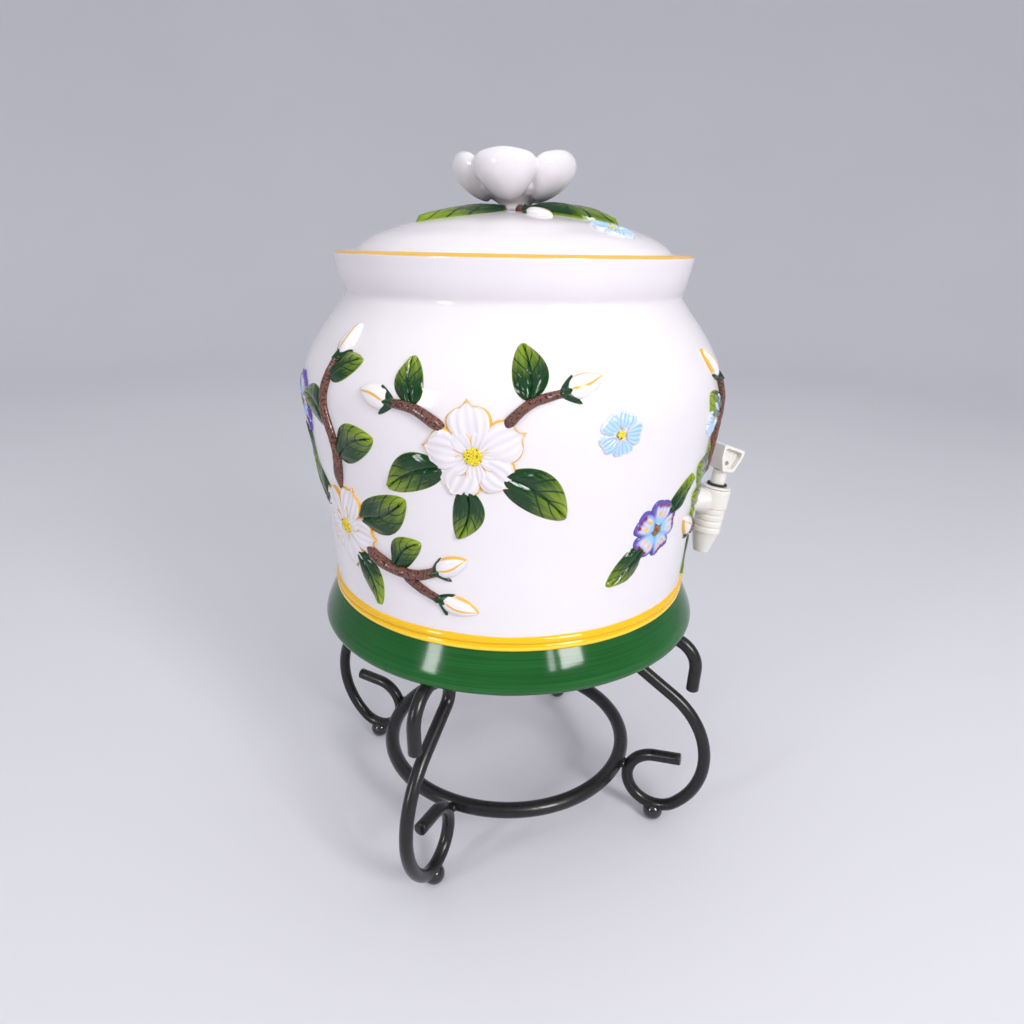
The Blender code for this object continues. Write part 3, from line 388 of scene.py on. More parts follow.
class Wire:
    """A number that runs through a material's nodes; sums on it add Math nodes."""

    def __init__(self, recipe, socket):
        self.recipe = recipe
        self.socket = socket

    def _sum(self, operation, *values, clamp=False):
        return self.recipe.node("ShaderNodeMath", {"operation": operation, "use_clamp": clamp},
                                dict(enumerate(values)))

    def __add__(self, other):
        return self._sum("ADD", self, other)

    def __radd__(self, other):
        return self._sum("ADD", other, self)

    def __sub__(self, other):
        return self._sum("SUBTRACT", self, other)

    def __rsub__(self, other):
        return self._sum("SUBTRACT", other, self)

    def __mul__(self, other):
        return self._sum("MULTIPLY", self, other)

    def __rmul__(self, other):
        return self._sum("MULTIPLY", other, self)

    def __pow__(self, other):
        return self._sum("POWER", self, other)

    def __abs__(self):
        return self._sum("ABSOLUTE", self)

    def root(self):
        return self._sum("SQRT", self)

    def wave(self):
        return self._sum("SINE", self)

    def low(self, other):
        return self._sum("MINIMUM", self, other)

    def high(self, other):
        return self._sum("MAXIMUM", self, other)

    def clipped(self):
        return self.low(1.0).high(0.0)

    def past(self, edge, soft):
        """0 below the edge and 1 above it, with a soft change between."""
        return self._sum("MULTIPLY_ADD", self - edge, 1 / soft, 0.5, clamp=True)


class Recipe:
    """One glaze, paint or plastic, built from nodes on a Principled shader."""

    def __init__(self, name, **constants):
        self.material = bpy.data.materials.new(name)
        self.material.use_nodes = True
        self.tree = self.material.node_tree
        self.shader = self.tree.nodes["Principled BSDF"]
        for key, value in constants.items():
            socket = key.replace("_", " ").title().replace("Ior", "IOR")
            self.shader.inputs[socket].default_value = value

    def node(self, kind, settings=None, inputs=None, output=0):
        made = self.tree.nodes.new(kind)
        for key, value in (settings or {}).items():
            setattr(made, key, value)
        for key, value in (inputs or {}).items():
            if isinstance(value, Wire):
                self.tree.links.new(value.socket, made.inputs[key])
            else:
                made.inputs[key].default_value = value
        return Wire(self, made.outputs[output])

    def feed(self, socket, wire):
        self.tree.links.new(wire.socket, self.shader.inputs[socket])

    def mix(self, factor, first, second):
        """Second over first by the factor; either may be a colour or a wire."""
        ends = {6: first, 7: second}
        for key, value in ends.items():
            if not isinstance(value, Wire):
                ends[key] = (*value, 1.0)
        return self.node("ShaderNodeMix", {"data_type": "RGBA"}, {0: factor, **ends}, 2)

    def places(self):
        return self.node("ShaderNodeTexCoord", output="Object")

    def axes(self, wire):
        split = self.node("ShaderNodeSeparateXYZ", {}, {0: wire})
        node = split.socket.node
        return [Wire(self, node.outputs[i]) for i in range(3)]

    def marks(self):
        """The marks that the relief's vertices carry: along, across and edge distance."""
        return self.axes(self.node("ShaderNodeAttribute", {"attribute_name": "marks"},
                                   output="Vector"))

    def stretched(self, scale):
        return self.node("ShaderNodeVectorMath", {"operation": "MULTIPLY"},
                         {0: self.places(), 1: scale})

    def noise(self, scale, detail=2.0, rough=0.5, vector=None):
        return self.node("ShaderNodeTexNoise", {},
                         {"Vector": vector or self.places(), "Scale": scale,
                          "Detail": detail, "Roughness": rough})

    def cells(self, scale):
        return self.node("ShaderNodeTexVoronoi", {},
                         {"Vector": self.places(), "Scale": scale})

    def bump(self, height, strength, distance):
        made = self.node("ShaderNodeBump", {}, {"Strength": strength, "Distance": distance,
                                                "Height": height})
        self.feed("Normal", made)


def glaze(name, roughness=0.09):
    """A glossy clear glaze over whatever colour is fed in, slightly uneven."""
    recipe = Recipe(name, coat_weight=0.22, coat_roughness=0.04, specular_ior_level=0.34)
    uneven = recipe.noise(38.0, 3.0)
    recipe.feed("Roughness", uneven * 0.07 + roughness - 0.03)
    return recipe


def crock_glaze(look):
    recipe = glaze("crock_glaze", 0.10)
    x, y, z = recipe.axes(recipe.places())
    wobble = recipe.noise(22.0, 2.0) - 0.5
    height = z - CROCK_Z + wobble * (0.9 * MM)
    streaks = recipe.noise(1.0, 4.0, 0.6, recipe.stretched((7.0, 7.0, 520.0)))
    patches = recipe.noise(16.0, 3.0)
    fine = recipe.noise(1.0, 4.0, 0.6, recipe.stretched((12.0, 12.0, 1500.0)))
    green = recipe.mix((streaks * 1.3 + fine * 0.8 + patches * 0.7 - 0.95).clipped(),
                       look.green, look.green_light)
    # painted highlight: lit is a pale band along the lower bead's ridge, where light catches it;
    # the pale yellow streaks are glaze
    lit = 1 - (abs(height - (SKIRT_HEIGHT + BEAD_HEIGHT * 0.20))).past(1.0 * MM, 0.8 * MM)
    yellow_streaks = recipe.noise(1.0, 3.0, 0.6, recipe.stretched((5.0, 5.0, 900.0)))
    yellow = recipe.mix((lit * 0.75 + yellow_streaks * 0.7 - 0.35).clipped(),
                        look.yellow, look.yellow_streak_and_highlight)
    cloud = recipe.noise(9.0, 3.0)
    # painted shade: a band just above the neck's crease is darkened towards the shade colour,
    # where shade falls
    crease_shade = (z - CROCK_Z).past(CROCK_HEIGHT * 0.905, 7 * MM) * (
        1 - (z - CROCK_Z).past(CROCK_HEIGHT * 0.93, 12 * MM))
    white = recipe.mix((cloud * 0.45 + crease_shade * 0.5 - 0.1).clipped(),
                       look.white, look.shade)
    out = ((x - AXIS.x) ** 2.0 + (y - AXIS.y) ** 2.0).root()
    rim = height.past(CROCK_HEIGHT - 1.6 * MM, 0.5 * MM) * out.past(
        SEAT_RADIUS + 3.2 * MM, 0.6 * MM)
    ground = recipe.mix(rim * (0.75 + 0.5 * patches).low(1.0), white, look.ochre)
    outside = out.past(FOOT_INNER_RADIUS + 1 * MM, 0.5 * MM)
    banded = recipe.mix((1 - height.past(SKIRT_HEIGHT + BEAD_HEIGHT + 0.3 * MM, 0.4 * MM))
                        * outside, ground, yellow)
    footed = recipe.mix((1 - height.past(SKIRT_HEIGHT + 0.4 * MM, 0.5 * MM)) * outside,
                        banded, green)
    bare = 1 - (z - CROCK_Z).past(0.7 * MM, 0.5 * MM)
    recipe.feed("Base Color", recipe.mix(bare, footed, look.bisque))
    recipe.feed("Roughness", (patches * 0.07 + 0.06) * (1 - bare) + bare * 0.8)
    recipe.feed("Coat Weight", height.past(SKIRT_HEIGHT, 1 * MM) * 0.22)
    recipe.bump(recipe.noise(46.0, 2.0) + streaks * 0.25, 0.12, 0.6 * MM)
    return recipe.material


def lid_glaze(look):
    recipe = glaze("lid_glaze", 0.09)
    cloud = recipe.noise(12.0, 3.0)
    recipe.feed("Base Color", recipe.mix((cloud * 0.6 - 0.1).high(0.0), look.white, look.shade))
    recipe.bump(recipe.noise(55.0, 2.0), 0.12, 0.5 * MM)
    return recipe.material


def petal_glaze(look):
    """White petals with an ochre edge line that breaks up, and painted shade in the flutes and at
    the petals' base.
    """
    recipe = glaze("petal_glaze", 0.12)
    along, across, edge = recipe.marks()
    ragged = recipe.noise(130.0, 2.0) - 0.5
    line = (1 - (edge + ragged * 0.5).past(1.15, 0.3)) * along.past(0.2, 0.2)
    broken = recipe.noise(60.0, 1.0).past(0.24, 0.12)
    # painted shade: the flutes and, below, the petal's base are darkened towards the shade
    # colour, where shade falls
    flute_shade = ((across * 16.0).wave() * 0.5 + 0.5) * along.past(0.15, 0.2)
    inner = 1 - along.past(0.16, 0.2)
    white = recipe.mix((flute_shade * 0.55 + inner * 0.6).low(1.0), look.white, look.shade)
    recipe.feed("Base Color", recipe.mix(line * broken, white, look.ochre))
    recipe.bump(recipe.noise(240.0, 2.0), 0.1, 0.3 * MM)
    return recipe.material


def bud_glaze(look):
    recipe = glaze("bud_glaze", 0.12)
    along, across, edge = recipe.marks()
    bent = across + (along * 3.1).wave() * 0.35 - 0.2
    line = (1 - abs(bent).past(0.11, 0.06)) * along.past(0.12, 0.1)
    rim = (1 - edge.past(0.9, 0.4)) * across.past(0.2, 0.3) * along.past(0.3, 0.2)
    recipe.feed("Base Color", recipe.mix((line + rim).low(1.0), look.white, look.ochre))
    return recipe.material


def leaf_glaze(look):
    """Dark green that thins to yellow-green at the tip, brushed lengthways, dark in the
    veins and thin on the edge."""
    recipe = glaze("leaf_glaze", 0.10)
    along, across, edge = recipe.marks()
    patches = recipe.noise(52.0, 3.0)
    strokes = recipe.noise(1.0, 3.0, 0.6, recipe.node(
        "ShaderNodeCombineXYZ", {}, {0: along * 2.5, 1: across * 9.0, 2: patches}))
    vein = 1 - abs(((along - abs(across) * VEIN_SLANT) * VEIN_PITCH).wave()).past(0.22, 0.22)
    rib = 1 - abs(across).past(0.07, 0.06)
    blend = along * 1.35 + across * 0.15 + patches * 0.6 + strokes * 1.0 - 1.35
    thin = (blend - vein * 0.5 - rib * 0.5).clipped()
    green = recipe.mix(thin, look.leaf, look.leaf_light)
    recipe.feed("Base Color", recipe.mix((1 - edge.past(0.3, 0.25)) * 0.5, green,
                                         look.leaf_light))
    recipe.bump(strokes - vein * 0.5, 0.25, 0.4 * MM)
    return recipe.material


def bark_glaze(look):
    recipe = glaze("bark_glaze", 0.16)
    pits = 1 - recipe.cells(760.0).past(0.36, 0.22)
    patches = recipe.noise(90.0, 3.0)
    recipe.feed("Base Color", recipe.mix((pits * 0.85 + patches * 0.9 - 0.35).clipped(),
                                         look.bark, look.bark_dark))
    recipe.bump(recipe.noise(300.0, 2.0) - pits * 0.9, 0.7, 0.7 * MM)
    return recipe.material


def violet_glaze(look):
    """Violet edge, pale middle, a yellow streak and two crimson dots on each petal."""
    recipe = glaze("violet_glaze", 0.10)
    along, across, edge = recipe.marks()
    patches = recipe.noise(85.0, 3.0)
    rays = (across * 19.0).wave() * 0.5 + 0.5
    blend = (1 - edge.past(2.4, 2.2)) + along * 0.45 + (patches - 0.5) * 0.7 + rays * 0.2 - 0.3
    ground = recipe.mix(blend.clipped(), look.violet_light, look.violet)
    base = recipe.mix((1 - along.past(0.34, 0.3)) * 0.85, ground, look.sky)
    streak = (1 - abs(abs(across) - 0.30).past(0.12, 0.1)) * along.past(0.36, 0.08) * (
        1 - along.past(0.62, 0.1))
    lit = recipe.mix(streak * patches.past(0.3, 0.3), base, look.yellow)
    dot = (((along - 0.82) * 2.0) ** 2.0 + (abs(across) - 0.42) ** 2.0).root()
    tip = (((along - 0.88) * 2.0) ** 2.0 + across ** 2.0).root()
    dots = 1 - dot.low(tip).past(0.15, 0.05)
    recipe.feed("Base Color", recipe.mix(dots, lit, look.crimson))
    recipe.bump(rays, 0.25, 0.25 * MM)
    return recipe.material


def sky_glaze(look):
    recipe = glaze("sky_glaze", 0.10)
    _, across, edge = recipe.marks()
    rays = (across * 16.0).wave() * 0.5 + 0.5
    pale = (rays * 0.45 + (1 - edge.past(0.9, 0.6)) * 0.5 + recipe.noise(90.0) * 0.4 - 0.2)
    recipe.feed("Base Color", recipe.mix(pale.clipped(), look.sky, look.white))
    recipe.bump(rays, 0.3, 0.25 * MM)
    return recipe.material


def eye_glaze(look, name, ground, dark, scale):
    """A blossom's eye: bright glaze with dark stipples."""
    recipe = glaze(name, 0.12)
    spots = 1 - recipe.cells(scale).past(0.26, 0.1)
    patches = recipe.noise(160.0, 2.0)
    lit = recipe.mix(patches * 0.5, ground, look.ochre)
    recipe.feed("Base Color", recipe.mix(spots, lit, dark))
    recipe.bump(recipe.noise(500.0, 2.0), 0.4, 0.4 * MM)
    return recipe.material


def rod_paint(look):
    """Gloss graphite paint with a faint mottle, rubbed thin in places."""
    recipe = Recipe("rod_paint", metallic=0.05, specular_ior_level=0.3, coat_weight=0.25,
                    coat_roughness=0.06)
    mottle = recipe.noise(170.0, 4.0, 0.6)
    rubbed = recipe.noise(34.0, 3.0)
    recipe.feed("Base Color", recipe.mix((mottle * 0.6 + rubbed * 0.8 - 0.5).clipped(),
                                         look.paint, look.worn))
    recipe.feed("Roughness", mottle * 0.2 + 0.2)
    recipe.bump(mottle + recipe.noise(600.0, 2.0) * 0.3, 0.16, 0.4 * MM)
    return recipe.material


def ball_gloss(look):
    recipe = Recipe("ball_gloss", specular_ior_level=0.6, coat_weight=0.5, coat_roughness=0.05)
    dust = recipe.noise(260.0, 4.0)
    recipe.feed("Base Color", recipe.mix(dust.past(0.62, 0.3) * 0.5, look.ball, tint(52, 52, 54)))
    recipe.feed("Roughness", dust * 0.2 + 0.05)
    recipe.bump(recipe.noise(150.0), 0.08, 0.4 * MM)
    return recipe.material


def tap_plastic(look):
    """Moulded off-white plastic with a fine sheen and faint yellowing."""
    recipe = Recipe("tap_plastic", specular_ior_level=0.45, subsurface_weight=0.06,
                    subsurface_radius=(0.002, 0.0016, 0.0012))
    age = recipe.noise(70.0, 3.0)
    fine = recipe.noise(1800.0, 2.0)
    recipe.feed("Base Color", recipe.mix((age - 0.35).high(0.0), look.plastic,
                                         look.plastic_warm))
    recipe.feed("Roughness", age * 0.15 + fine * 0.12 + 0.2)
    recipe.bump(fine, 0.12, 0.15 * MM)
    return recipe.material


def washer_rubber(look):
    recipe = Recipe("washer_rubber", specular_ior_level=0.4)
    fine = recipe.noise(900.0, 3.0)
    recipe.feed("Base Color", recipe.mix(fine * 0.6, look.rubber, tint(62, 60, 60)))
    recipe.feed("Roughness", fine * 0.25 + 0.5)
    recipe.bump(fine, 0.3, 0.2 * MM)
    return recipe.material


def spring_steel(look):
    recipe = Recipe("spring_steel", metallic=1.0)
    drawn = recipe.noise(1400.0, 3.0)
    recipe.feed("Base Color", recipe.mix(drawn * 0.6, look.steel, tint(140, 140, 144)))
    recipe.feed("Roughness", drawn * 0.2 + 0.18)
    recipe.bump(drawn, 0.15, 0.1 * MM)
    return recipe.material


# Outlines and surfaces -------------------------------------------------------------------

def smooth_row(points, parts):
    """Points on a Catmull-Rom curve through the given points."""
    row = [points[0]]
    padded = [points[0], *points, points[-1]]
    for a, b, c, d in zip(padded, padded[1:], padded[2:], padded[3:]):
        for i in range(1, parts + 1):
            t = i / parts
            row.append(tuple(
                (2 * q + (r - p) * t + (2 * p - 5 * q + 4 * r - s) * t * t
                 + (3 * q - p - 3 * r + s) * t ** 3) / 2
                for p, q, r, s in zip(a, b, c, d)))
    return row


def arc(centre, radius, start, end, steps):
    row = []
    for i in range(steps + 1):
        angle = math.radians(start + (end - start) * i / steps)
        row.append((centre[0] + radius * math.cos(angle), centre[1] + radius * math.sin(angle)))
    return row


def soft_corner(before, here, after, radius, steps=4):
    """A short curve in place of a corner."""
    here = Vector(here)
    start = here + (Vector(before) - here).normalized() * radius
    end = here + (Vector(after) - here).normalized() * radius
    row = []
    for i in range(steps + 1):
        t = i / steps
        row.append(tuple(start * (1 - t) ** 2 + here * 2 * t * (1 - t) + end * t ** 2))
    return row


def softened(corners, radius, closed=False):
    """An outline with each inner corner rounded; points on the axis stay."""
    row = []
    last = len(corners) - 1
    for i, here in enumerate(corners):
        if not closed and i in (0, last):
            row.append(here)
            continue
        row.extend(soft_corner(corners[i - 1], here, corners[(i + 1) % (last + 1)], radius))
    return row


def eased(row, times):
    """A row of points with its small bends evened out; the ends stay."""
    for _ in range(times):
        row = [row[0], *(((a[0] + 2 * b[0] + c[0]) / 4, (a[1] + 2 * b[1] + c[1]) / 4)
                         for a, b, c in zip(row, row[1:], row[2:])), row[-1]]
    return row


def wall_outline(parts=8):
    return eased(smooth_row([(radius * BELLY_RADIUS, height * CROCK_HEIGHT)
                             for height, radius in WALL_SHARES], parts), 2 * parts)


class Wall:
    """The crock's outer wall as a sheet that relief is laid on."""

    def __init__(self):
        self.rows = wall_outline(10)
        self.runs = [0.0]
        for a, b in zip(self.rows, self.rows[1:]):
            self.runs.append(self.runs[-1] + math.dist(a, b))

    def run_at(self, height):
        for (a, b), r0, r1 in zip(zip(self.rows, self.rows[1:]), self.runs, self.runs[1:]):
            if a[1] <= height <= b[1]:
                return r0 + (r1 - r0) * (height - a[1]) / (b[1] - a[1])
        raise ValueError(f"the wall has no height {height}")

    def at(self, run):
        run = min(max(run, 0.0), self.runs[-1] - 1e-9)
        for i, end in enumerate(self.runs[1:]):
            if run <= end:
                break
        a, b = self.rows[i], self.rows[i + 1]
        share = (run - self.runs[i]) / (self.runs[i + 1] - self.runs[i])
        along = (Vector(b) - Vector(a)).normalized()
        return a[0] + (b[0] - a[0]) * share, a[1] + (b[1] - a[1]) * share, along.y, -along.x

    def spot(self, place, u, v, lift):
        azimuth, height, turn = place
        c, s = math.cos(math.radians(turn)), math.sin(math.radians(turn))
        side, up = u * c - v * s, u * s + v * c
        run = self.run_at(height)
        middle = self.at(run)[0]
        radius, z, out, rise = self.at(run + up)
        angle = math.radians(azimuth) + side / middle
        reach = radius + out * lift
        return AXIS + Vector((reach * math.cos(angle), reach * math.sin(angle),
                              CROCK_Z + z + rise * lift))


class Dome:
    """The lid's top as a sheet that relief is laid on."""

    def __init__(self):
        rows = [(0.0, LID_RISE)]
        rows += [(out * LID_EDGE_RADIUS, LID_EDGE + up * (LID_RISE - LID_EDGE))
                 for out, up in reversed(DOME_SHARES)]
        self.rows = smooth_row(rows, 6)

    def spot(self, place, u, v, lift):
        azimuth, distance, turn = place
        c, s = math.cos(math.radians(turn)), math.sin(math.radians(turn))
        ahead, side = distance + u * c - v * s, u * s + v * c
        radius = math.hypot(ahead, side)
        angle = math.radians(azimuth) + math.atan2(side, ahead)
        for a, b in zip(self.rows, self.rows[1:]):
            if radius <= b[0]:
                break
        share = (radius - a[0]) / (b[0] - a[0])
        z = a[1] + (b[1] - a[1]) * share
        along = (Vector(b) - Vector(a)).normalized()
        reach = radius - along.y * lift
        return AXIS + Vector((reach * math.cos(angle), reach * math.sin(angle),
                              LID_Z + z + along.x * lift))


class Clay:
    """Faces of one moulded piece; every vertex carries marks for its glaze: the share
    along, the share across from -1 to 1, and the distance from the edge in mm."""

    PLAIN = (0.5, 0.0, 9.0)

    def __init__(self):
        self.points = []
        self.faces = []
        self.marks = []

    def grid(self, rows, marks, round_rows=False, round_columns=False):
        """A sheet through rows of points, closed on itself where asked."""
        first = len(self.points)
        wide = len(rows[0])
        for row, mark_row in zip(rows, marks):
            self.points.extend(row)
            self.marks.extend(mark_row)
        high = len(rows)
        for i in range(high if round_rows else high - 1):
            for j in range(wide if round_columns else wide - 1):
                k, m = (i + 1) % high, (j + 1) % wide
                self.faces.append((first + i * wide + j, first + i * wide + m,
                                   first + k * wide + m, first + k * wide + j))
        return first

    def patch(self, lay, rows, columns, shape, sink):
        """A closed relief: shape gives (u, v, lift, marks) for shares along and across."""
        shares = [[((1 - math.cos(math.pi * i / rows)) / 2, -math.cos(math.pi * j / columns))
                   for j in range(columns + 1)] for i in range(rows + 1)]
        made = [[shape(s, t) for s, t in row] for row in shares]
        upper = self.grid([[lay(u, v, lift) for u, v, lift, _ in row] for row in made],
                          [[mark for _, _, _, mark in row] for row in made])
        border = [(i, 0) for i in range(rows + 1)]
        border += [(rows, j) for j in range(1, columns + 1)]
        border += [(i, columns) for i in range(rows - 1, -1, -1)]
        border += [(0, j) for j in range(columns - 1, 0, -1)]
        under = len(self.points)
        for i, j in border:
            u, v, _, mark = made[i][j]
            self.points.append(lay(u, v, -sink))
            self.marks.append(mark)
        count = len(border)
        for k, (i, j) in enumerate(border):
            m, n = border[(k + 1) % count]
            self.faces.append((upper + i * (columns + 1) + j, upper + m * (columns + 1) + n,
                               under + (k + 1) % count, under + k))
        self.faces.append(tuple(under + k for k in range(count)))

    def rod(self, points, radii, sides, closed=False):
        """A round rod through points, capped at its ends unless it is closed."""
        count = len(points)
        points = [Vector(point) for point in points]
        rows, marks = [], []
        side = None
        for i, point in enumerate(points):
            if closed:
                along = points[(i + 1) % count] - points[i - 1]
            else:
                along = points[min(i + 1, count - 1)] - points[max(i - 1, 0)]
            along.normalize()
            if side is None:
                side = along.orthogonal().normalized()
            side = (side - along * side.dot(along)).normalized()
            over = along.cross(side)
            radius = radii if isinstance(radii, float) else radii[i]
            rows.append([point + (side * math.cos(2 * math.pi * j / sides)
                                  + over * math.sin(2 * math.pi * j / sides)) * radius
                         for j in range(sides)])
            marks.append([(i / count, *self.PLAIN[1:])] * sides)
        first = self.grid(rows, marks, closed, True)
        if not closed:
            self.faces.append(tuple(first + j for j in range(sides)))
            self.faces.append(tuple(first + (count - 1) * sides + j for j in range(sides)))

    def ball(self, matrix, sides, rings, shape=None):
        """A ball that the matrix sizes and places; shape may move its unit points."""
        rows, marks = [], []
        for i in range(1, rings):
            polar = math.pi * i / rings
            row = []
            for j in range(sides):
                angle = 2 * math.pi * j / sides
                point = Vector((math.sin(polar) * math.cos(angle),
                                math.sin(polar) * math.sin(angle), math.cos(polar)))
                row.append(matrix @ (shape(point) if shape else point))
            rows.append(row)
            marks.append([self.PLAIN] * sides)
        first = self.grid(rows, marks, False, True)
        for pole, ring in ((Vector((0, 0, 1)), 0), (Vector((0, 0, -1)), rings - 2)):
            tip = len(self.points)
            self.points.append(matrix @ (shape(pole) if shape else pole))
            self.marks.append(self.PLAIN)
            for j in range(sides):
                self.faces.append((tip, first + ring * sides + j,
                                   first + ring * sides + (j + 1) % sides))

    def turn(self, outline, steps, matrix, closed=False):
        """An outline of (radius, height) turned about the matrix's Z axis."""
        solid = [point for point in outline if point[0] > ON_AXIS]
        rows = []
        for radius, height in solid:
            rows.append([matrix @ Vector((radius * math.cos(2 * math.pi * j / steps),
                                          radius * math.sin(2 * math.pi * j / steps), height))
                         for j in range(steps)])
        first = self.grid(rows, [[self.PLAIN] * steps] * len(rows), closed, True)
        for point, ring in ((outline[0], 0), (outline[-1], len(solid) - 1)):
            if point[0] <= ON_AXIS:
                tip = len(self.points)
                self.points.append(matrix @ Vector((0.0, 0.0, point[1])))
                self.marks.append(self.PLAIN)
                for j in range(steps):
                    self.faces.append((tip, first + ring * steps + j,
                                       first + ring * steps + (j + 1) % steps))

    def make(self, name, material, body, slot, hides=(), sharp=60.0):
        """The finished object, riding on its body."""
        mesh = bpy.data.meshes.new(name)
        mesh.from_pydata(self.points, [], self.faces)
        store = mesh.attributes.new("marks", "FLOAT_VECTOR", "POINT")
        store.data.foreach_set("vector", [value for mark in self.marks for value in mark])
        made = bpy.data.objects.new(name, mesh)
        bpy.context.scene.collection.objects.link(made)
        even_faces(mesh)
        mesh.set_sharp_from_angle(angle=math.radians(sharp))
        mesh.materials.append(material)
        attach(made, body)
        if hides:
            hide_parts(*hides)
        return made


def even_faces(mesh):
    """Turn every face the same way out and shade the mesh smooth."""
    shape = bmesh.new()
    shape.from_mesh(mesh)
    bmesh.ops.recalc_face_normals(shape, faces=shape.faces)
    shape.to_mesh(mesh)
    shape.free()
    mesh.shade_smooth()


def settle(item):
    """Keep the evaluated mesh as the object's own."""
    bpy.context.view_layer.update()
    graph = bpy.context.evaluated_depsgraph_get()
    mesh = bpy.data.meshes.new_from_object(item.evaluated_get(graph))
    item.modifiers.clear()
    item.data = mesh
    return item


def cut(item, clay, name):
    """Take a closed shape out of a piece."""
    mesh = bpy.data.meshes.new(name)
    mesh.from_pydata(clay.points, [], clay.faces)
    tool = bpy.data.objects.new(name, mesh)
    bpy.context.scene.collection.objects.link(tool)
    even_faces(mesh)
    joint = item.modifiers.new("cut", "BOOLEAN")
    joint.operation = "DIFFERENCE"
    joint.solver = "EXACT"
    joint.object = tool
    settle(item)
    bpy.data.objects.remove(tool, do_unlink=True)


# Crock and lid ---------------------------------------------------------------------------

def crock_outline():
    """Down from the inner floor's centre over the wall and rim to the foot's recess."""
    wall = wall_outline(8)
    inner = []
    for before, here, after in zip(wall, wall[1:], wall[2:]):
        across = Vector((after[1] - before[1], before[0] - after[0])).normalized()
        inner.append((here[0] - across.x * CROCK_WALL, here[1] - across.y * CROCK_WALL))
    inner = inner[::3]
    lowest = inner[0][0]
    down = [(0.0, FLOOR_TOP)]
    down += arc((lowest - FLOOR_ROUND, FLOOR_TOP + FLOOR_ROUND), FLOOR_ROUND, -90.0, 0.0, 8)
    down += inner
    throat = CROCK_HEIGHT - THROAT_END
    down += smooth_row([inner[-1], (THROAT_RADIUS + 0.6 * MM, throat - 1.5 * MM),
                        (THROAT_RADIUS, throat + 2 * MM)], 4)[1:]
    seat = CROCK_HEIGHT - SEAT_DEPTH
    down += arc((THROAT_RADIUS + THROAT_ROUND, seat - THROAT_ROUND), THROAT_ROUND,
                180.0, 90.0, 4)
    down += arc((SEAT_RADIUS - SEAT_ROUND, seat + SEAT_ROUND), SEAT_ROUND, -90.0, 0.0, 3)
    down += arc((SEAT_RADIUS + RIM_ROUND, CROCK_HEIGHT - RIM_ROUND), RIM_ROUND, 180.0, 90.0, 5)
    down += arc((RIM_RADIUS - RIM_ROUND, CROCK_HEIGHT - RIM_ROUND), RIM_ROUND, 90.0, 0.0, 5)
    crease_radius, crease_height = wall[-1]
    flare = [(RIM_RADIUS, CROCK_HEIGHT - RIM_ROUND)]
    for up, out in reversed(NECK_SHARES):
        flare.append((crease_radius + out * (RIM_RADIUS - crease_radius),
                      crease_height + up * (CROCK_HEIGHT - crease_height)))
    flare.append((crease_radius, crease_height))
    neck = smooth_row(flare, 6)[1:-1]
    down += neck[:-1]
    down += soft_corner(neck[-2], wall[-1], wall[-2], CREASE_ROUND, 6)
    down += list(reversed(wall))[2:]
    # an upper bead and a thinner one below it
    split = SKIRT_HEIGHT + BEAD_HEIGHT * BEAD_SPLIT
    groove = BEAD_RADIUS - BEAD_DEPTH
    steps = 12
    for start, end, depth in ((SKIRT_HEIGHT + BEAD_HEIGHT, split, BEAD_DEPTH),
                              (split, SKIRT_HEIGHT, BEAD_DEPTH * 0.8)):
        for i in range(1, steps + 1):
            bulge = math.sin(math.pi * i / steps) ** 0.7 if i < steps else 0.0
            down.append((groove + depth * bulge, start + (end - start) * i / steps))
    skirt = [(groove, SKIRT_HEIGHT)]
    for up, out in reversed(SKIRT_SHARES):
        inside = groove if up > 0.5 else FOOT_OUTER_RADIUS
        skirt.append((inside + out * (SKIRT_RADIUS - inside), up * SKIRT_HEIGHT))
    skirt.append((FOOT_OUTER_RADIUS, 0.0))
    down += smooth_row(skirt, 6)[1:]
    down += [(FOOT_INNER_RADIUS, 0.0), (FOOT_INNER_RADIUS - 1.4 * MM, 0.6 * MM),
             (FOOT_INNER_RADIUS - FOOT_RECESS, FOOT_RECESS - 0.6 * MM),
             (FOOT_INNER_RADIUS - FOOT_RECESS - 2 * MM, FOOT_RECESS), (0.0, FOOT_RECESS)]
    return down


def tap_frame():
    """The matrix of the valve's axis, with its origin on the shank's centre line."""
    return (Matrix.Translation(PIN) @ Matrix.Rotation(TAP_TILT, 4, "X")
            @ Matrix.Translation((0.0, 0.0, -PIN_HEIGHT)))


def along_shank(start):
    """A frame on the shank's line whose Z runs inwards, start from the valve's axis."""
    return tap_frame() @ Matrix.Translation((0.0, start, 0.0)) @ Matrix.Rotation(
        -math.pi / 2, 4, "X")


def build_crock(look):
    clay = Clay()
    clay.turn(crock_outline(), 224, Matrix.Translation(AXIS + Vector((0, 0, CROCK_Z))))
    made = clay.make("crock_shell", crock_glaze(look), "pot", "crock_glaze", ("crock",))
    for name, radius, start, end in (
            ("outer_spot", SPOT_RADIUS, TAP_REACH - 17 * MM, TAP_REACH),
            ("inner_spot", SPOT_RADIUS + 2 * MM, INNER_FACE, TAP_REACH + 17 * MM),
            ("tap_hole", SHANK_RADIUS + 0.5 * MM, TAP_REACH - 4 * MM, TAP_REACH + 9 * MM)):
        tool = Clay()
        tool.turn([(0.0, 0.0), (radius, 0.0), (radius, end - start), (0.0, end - start)],
                  64, along_shank(start))
        cut(made, tool, name)
    made.data.shade_smooth()
    made.data.set_sharp_from_angle(angle=math.radians(CROCK_SHARP))


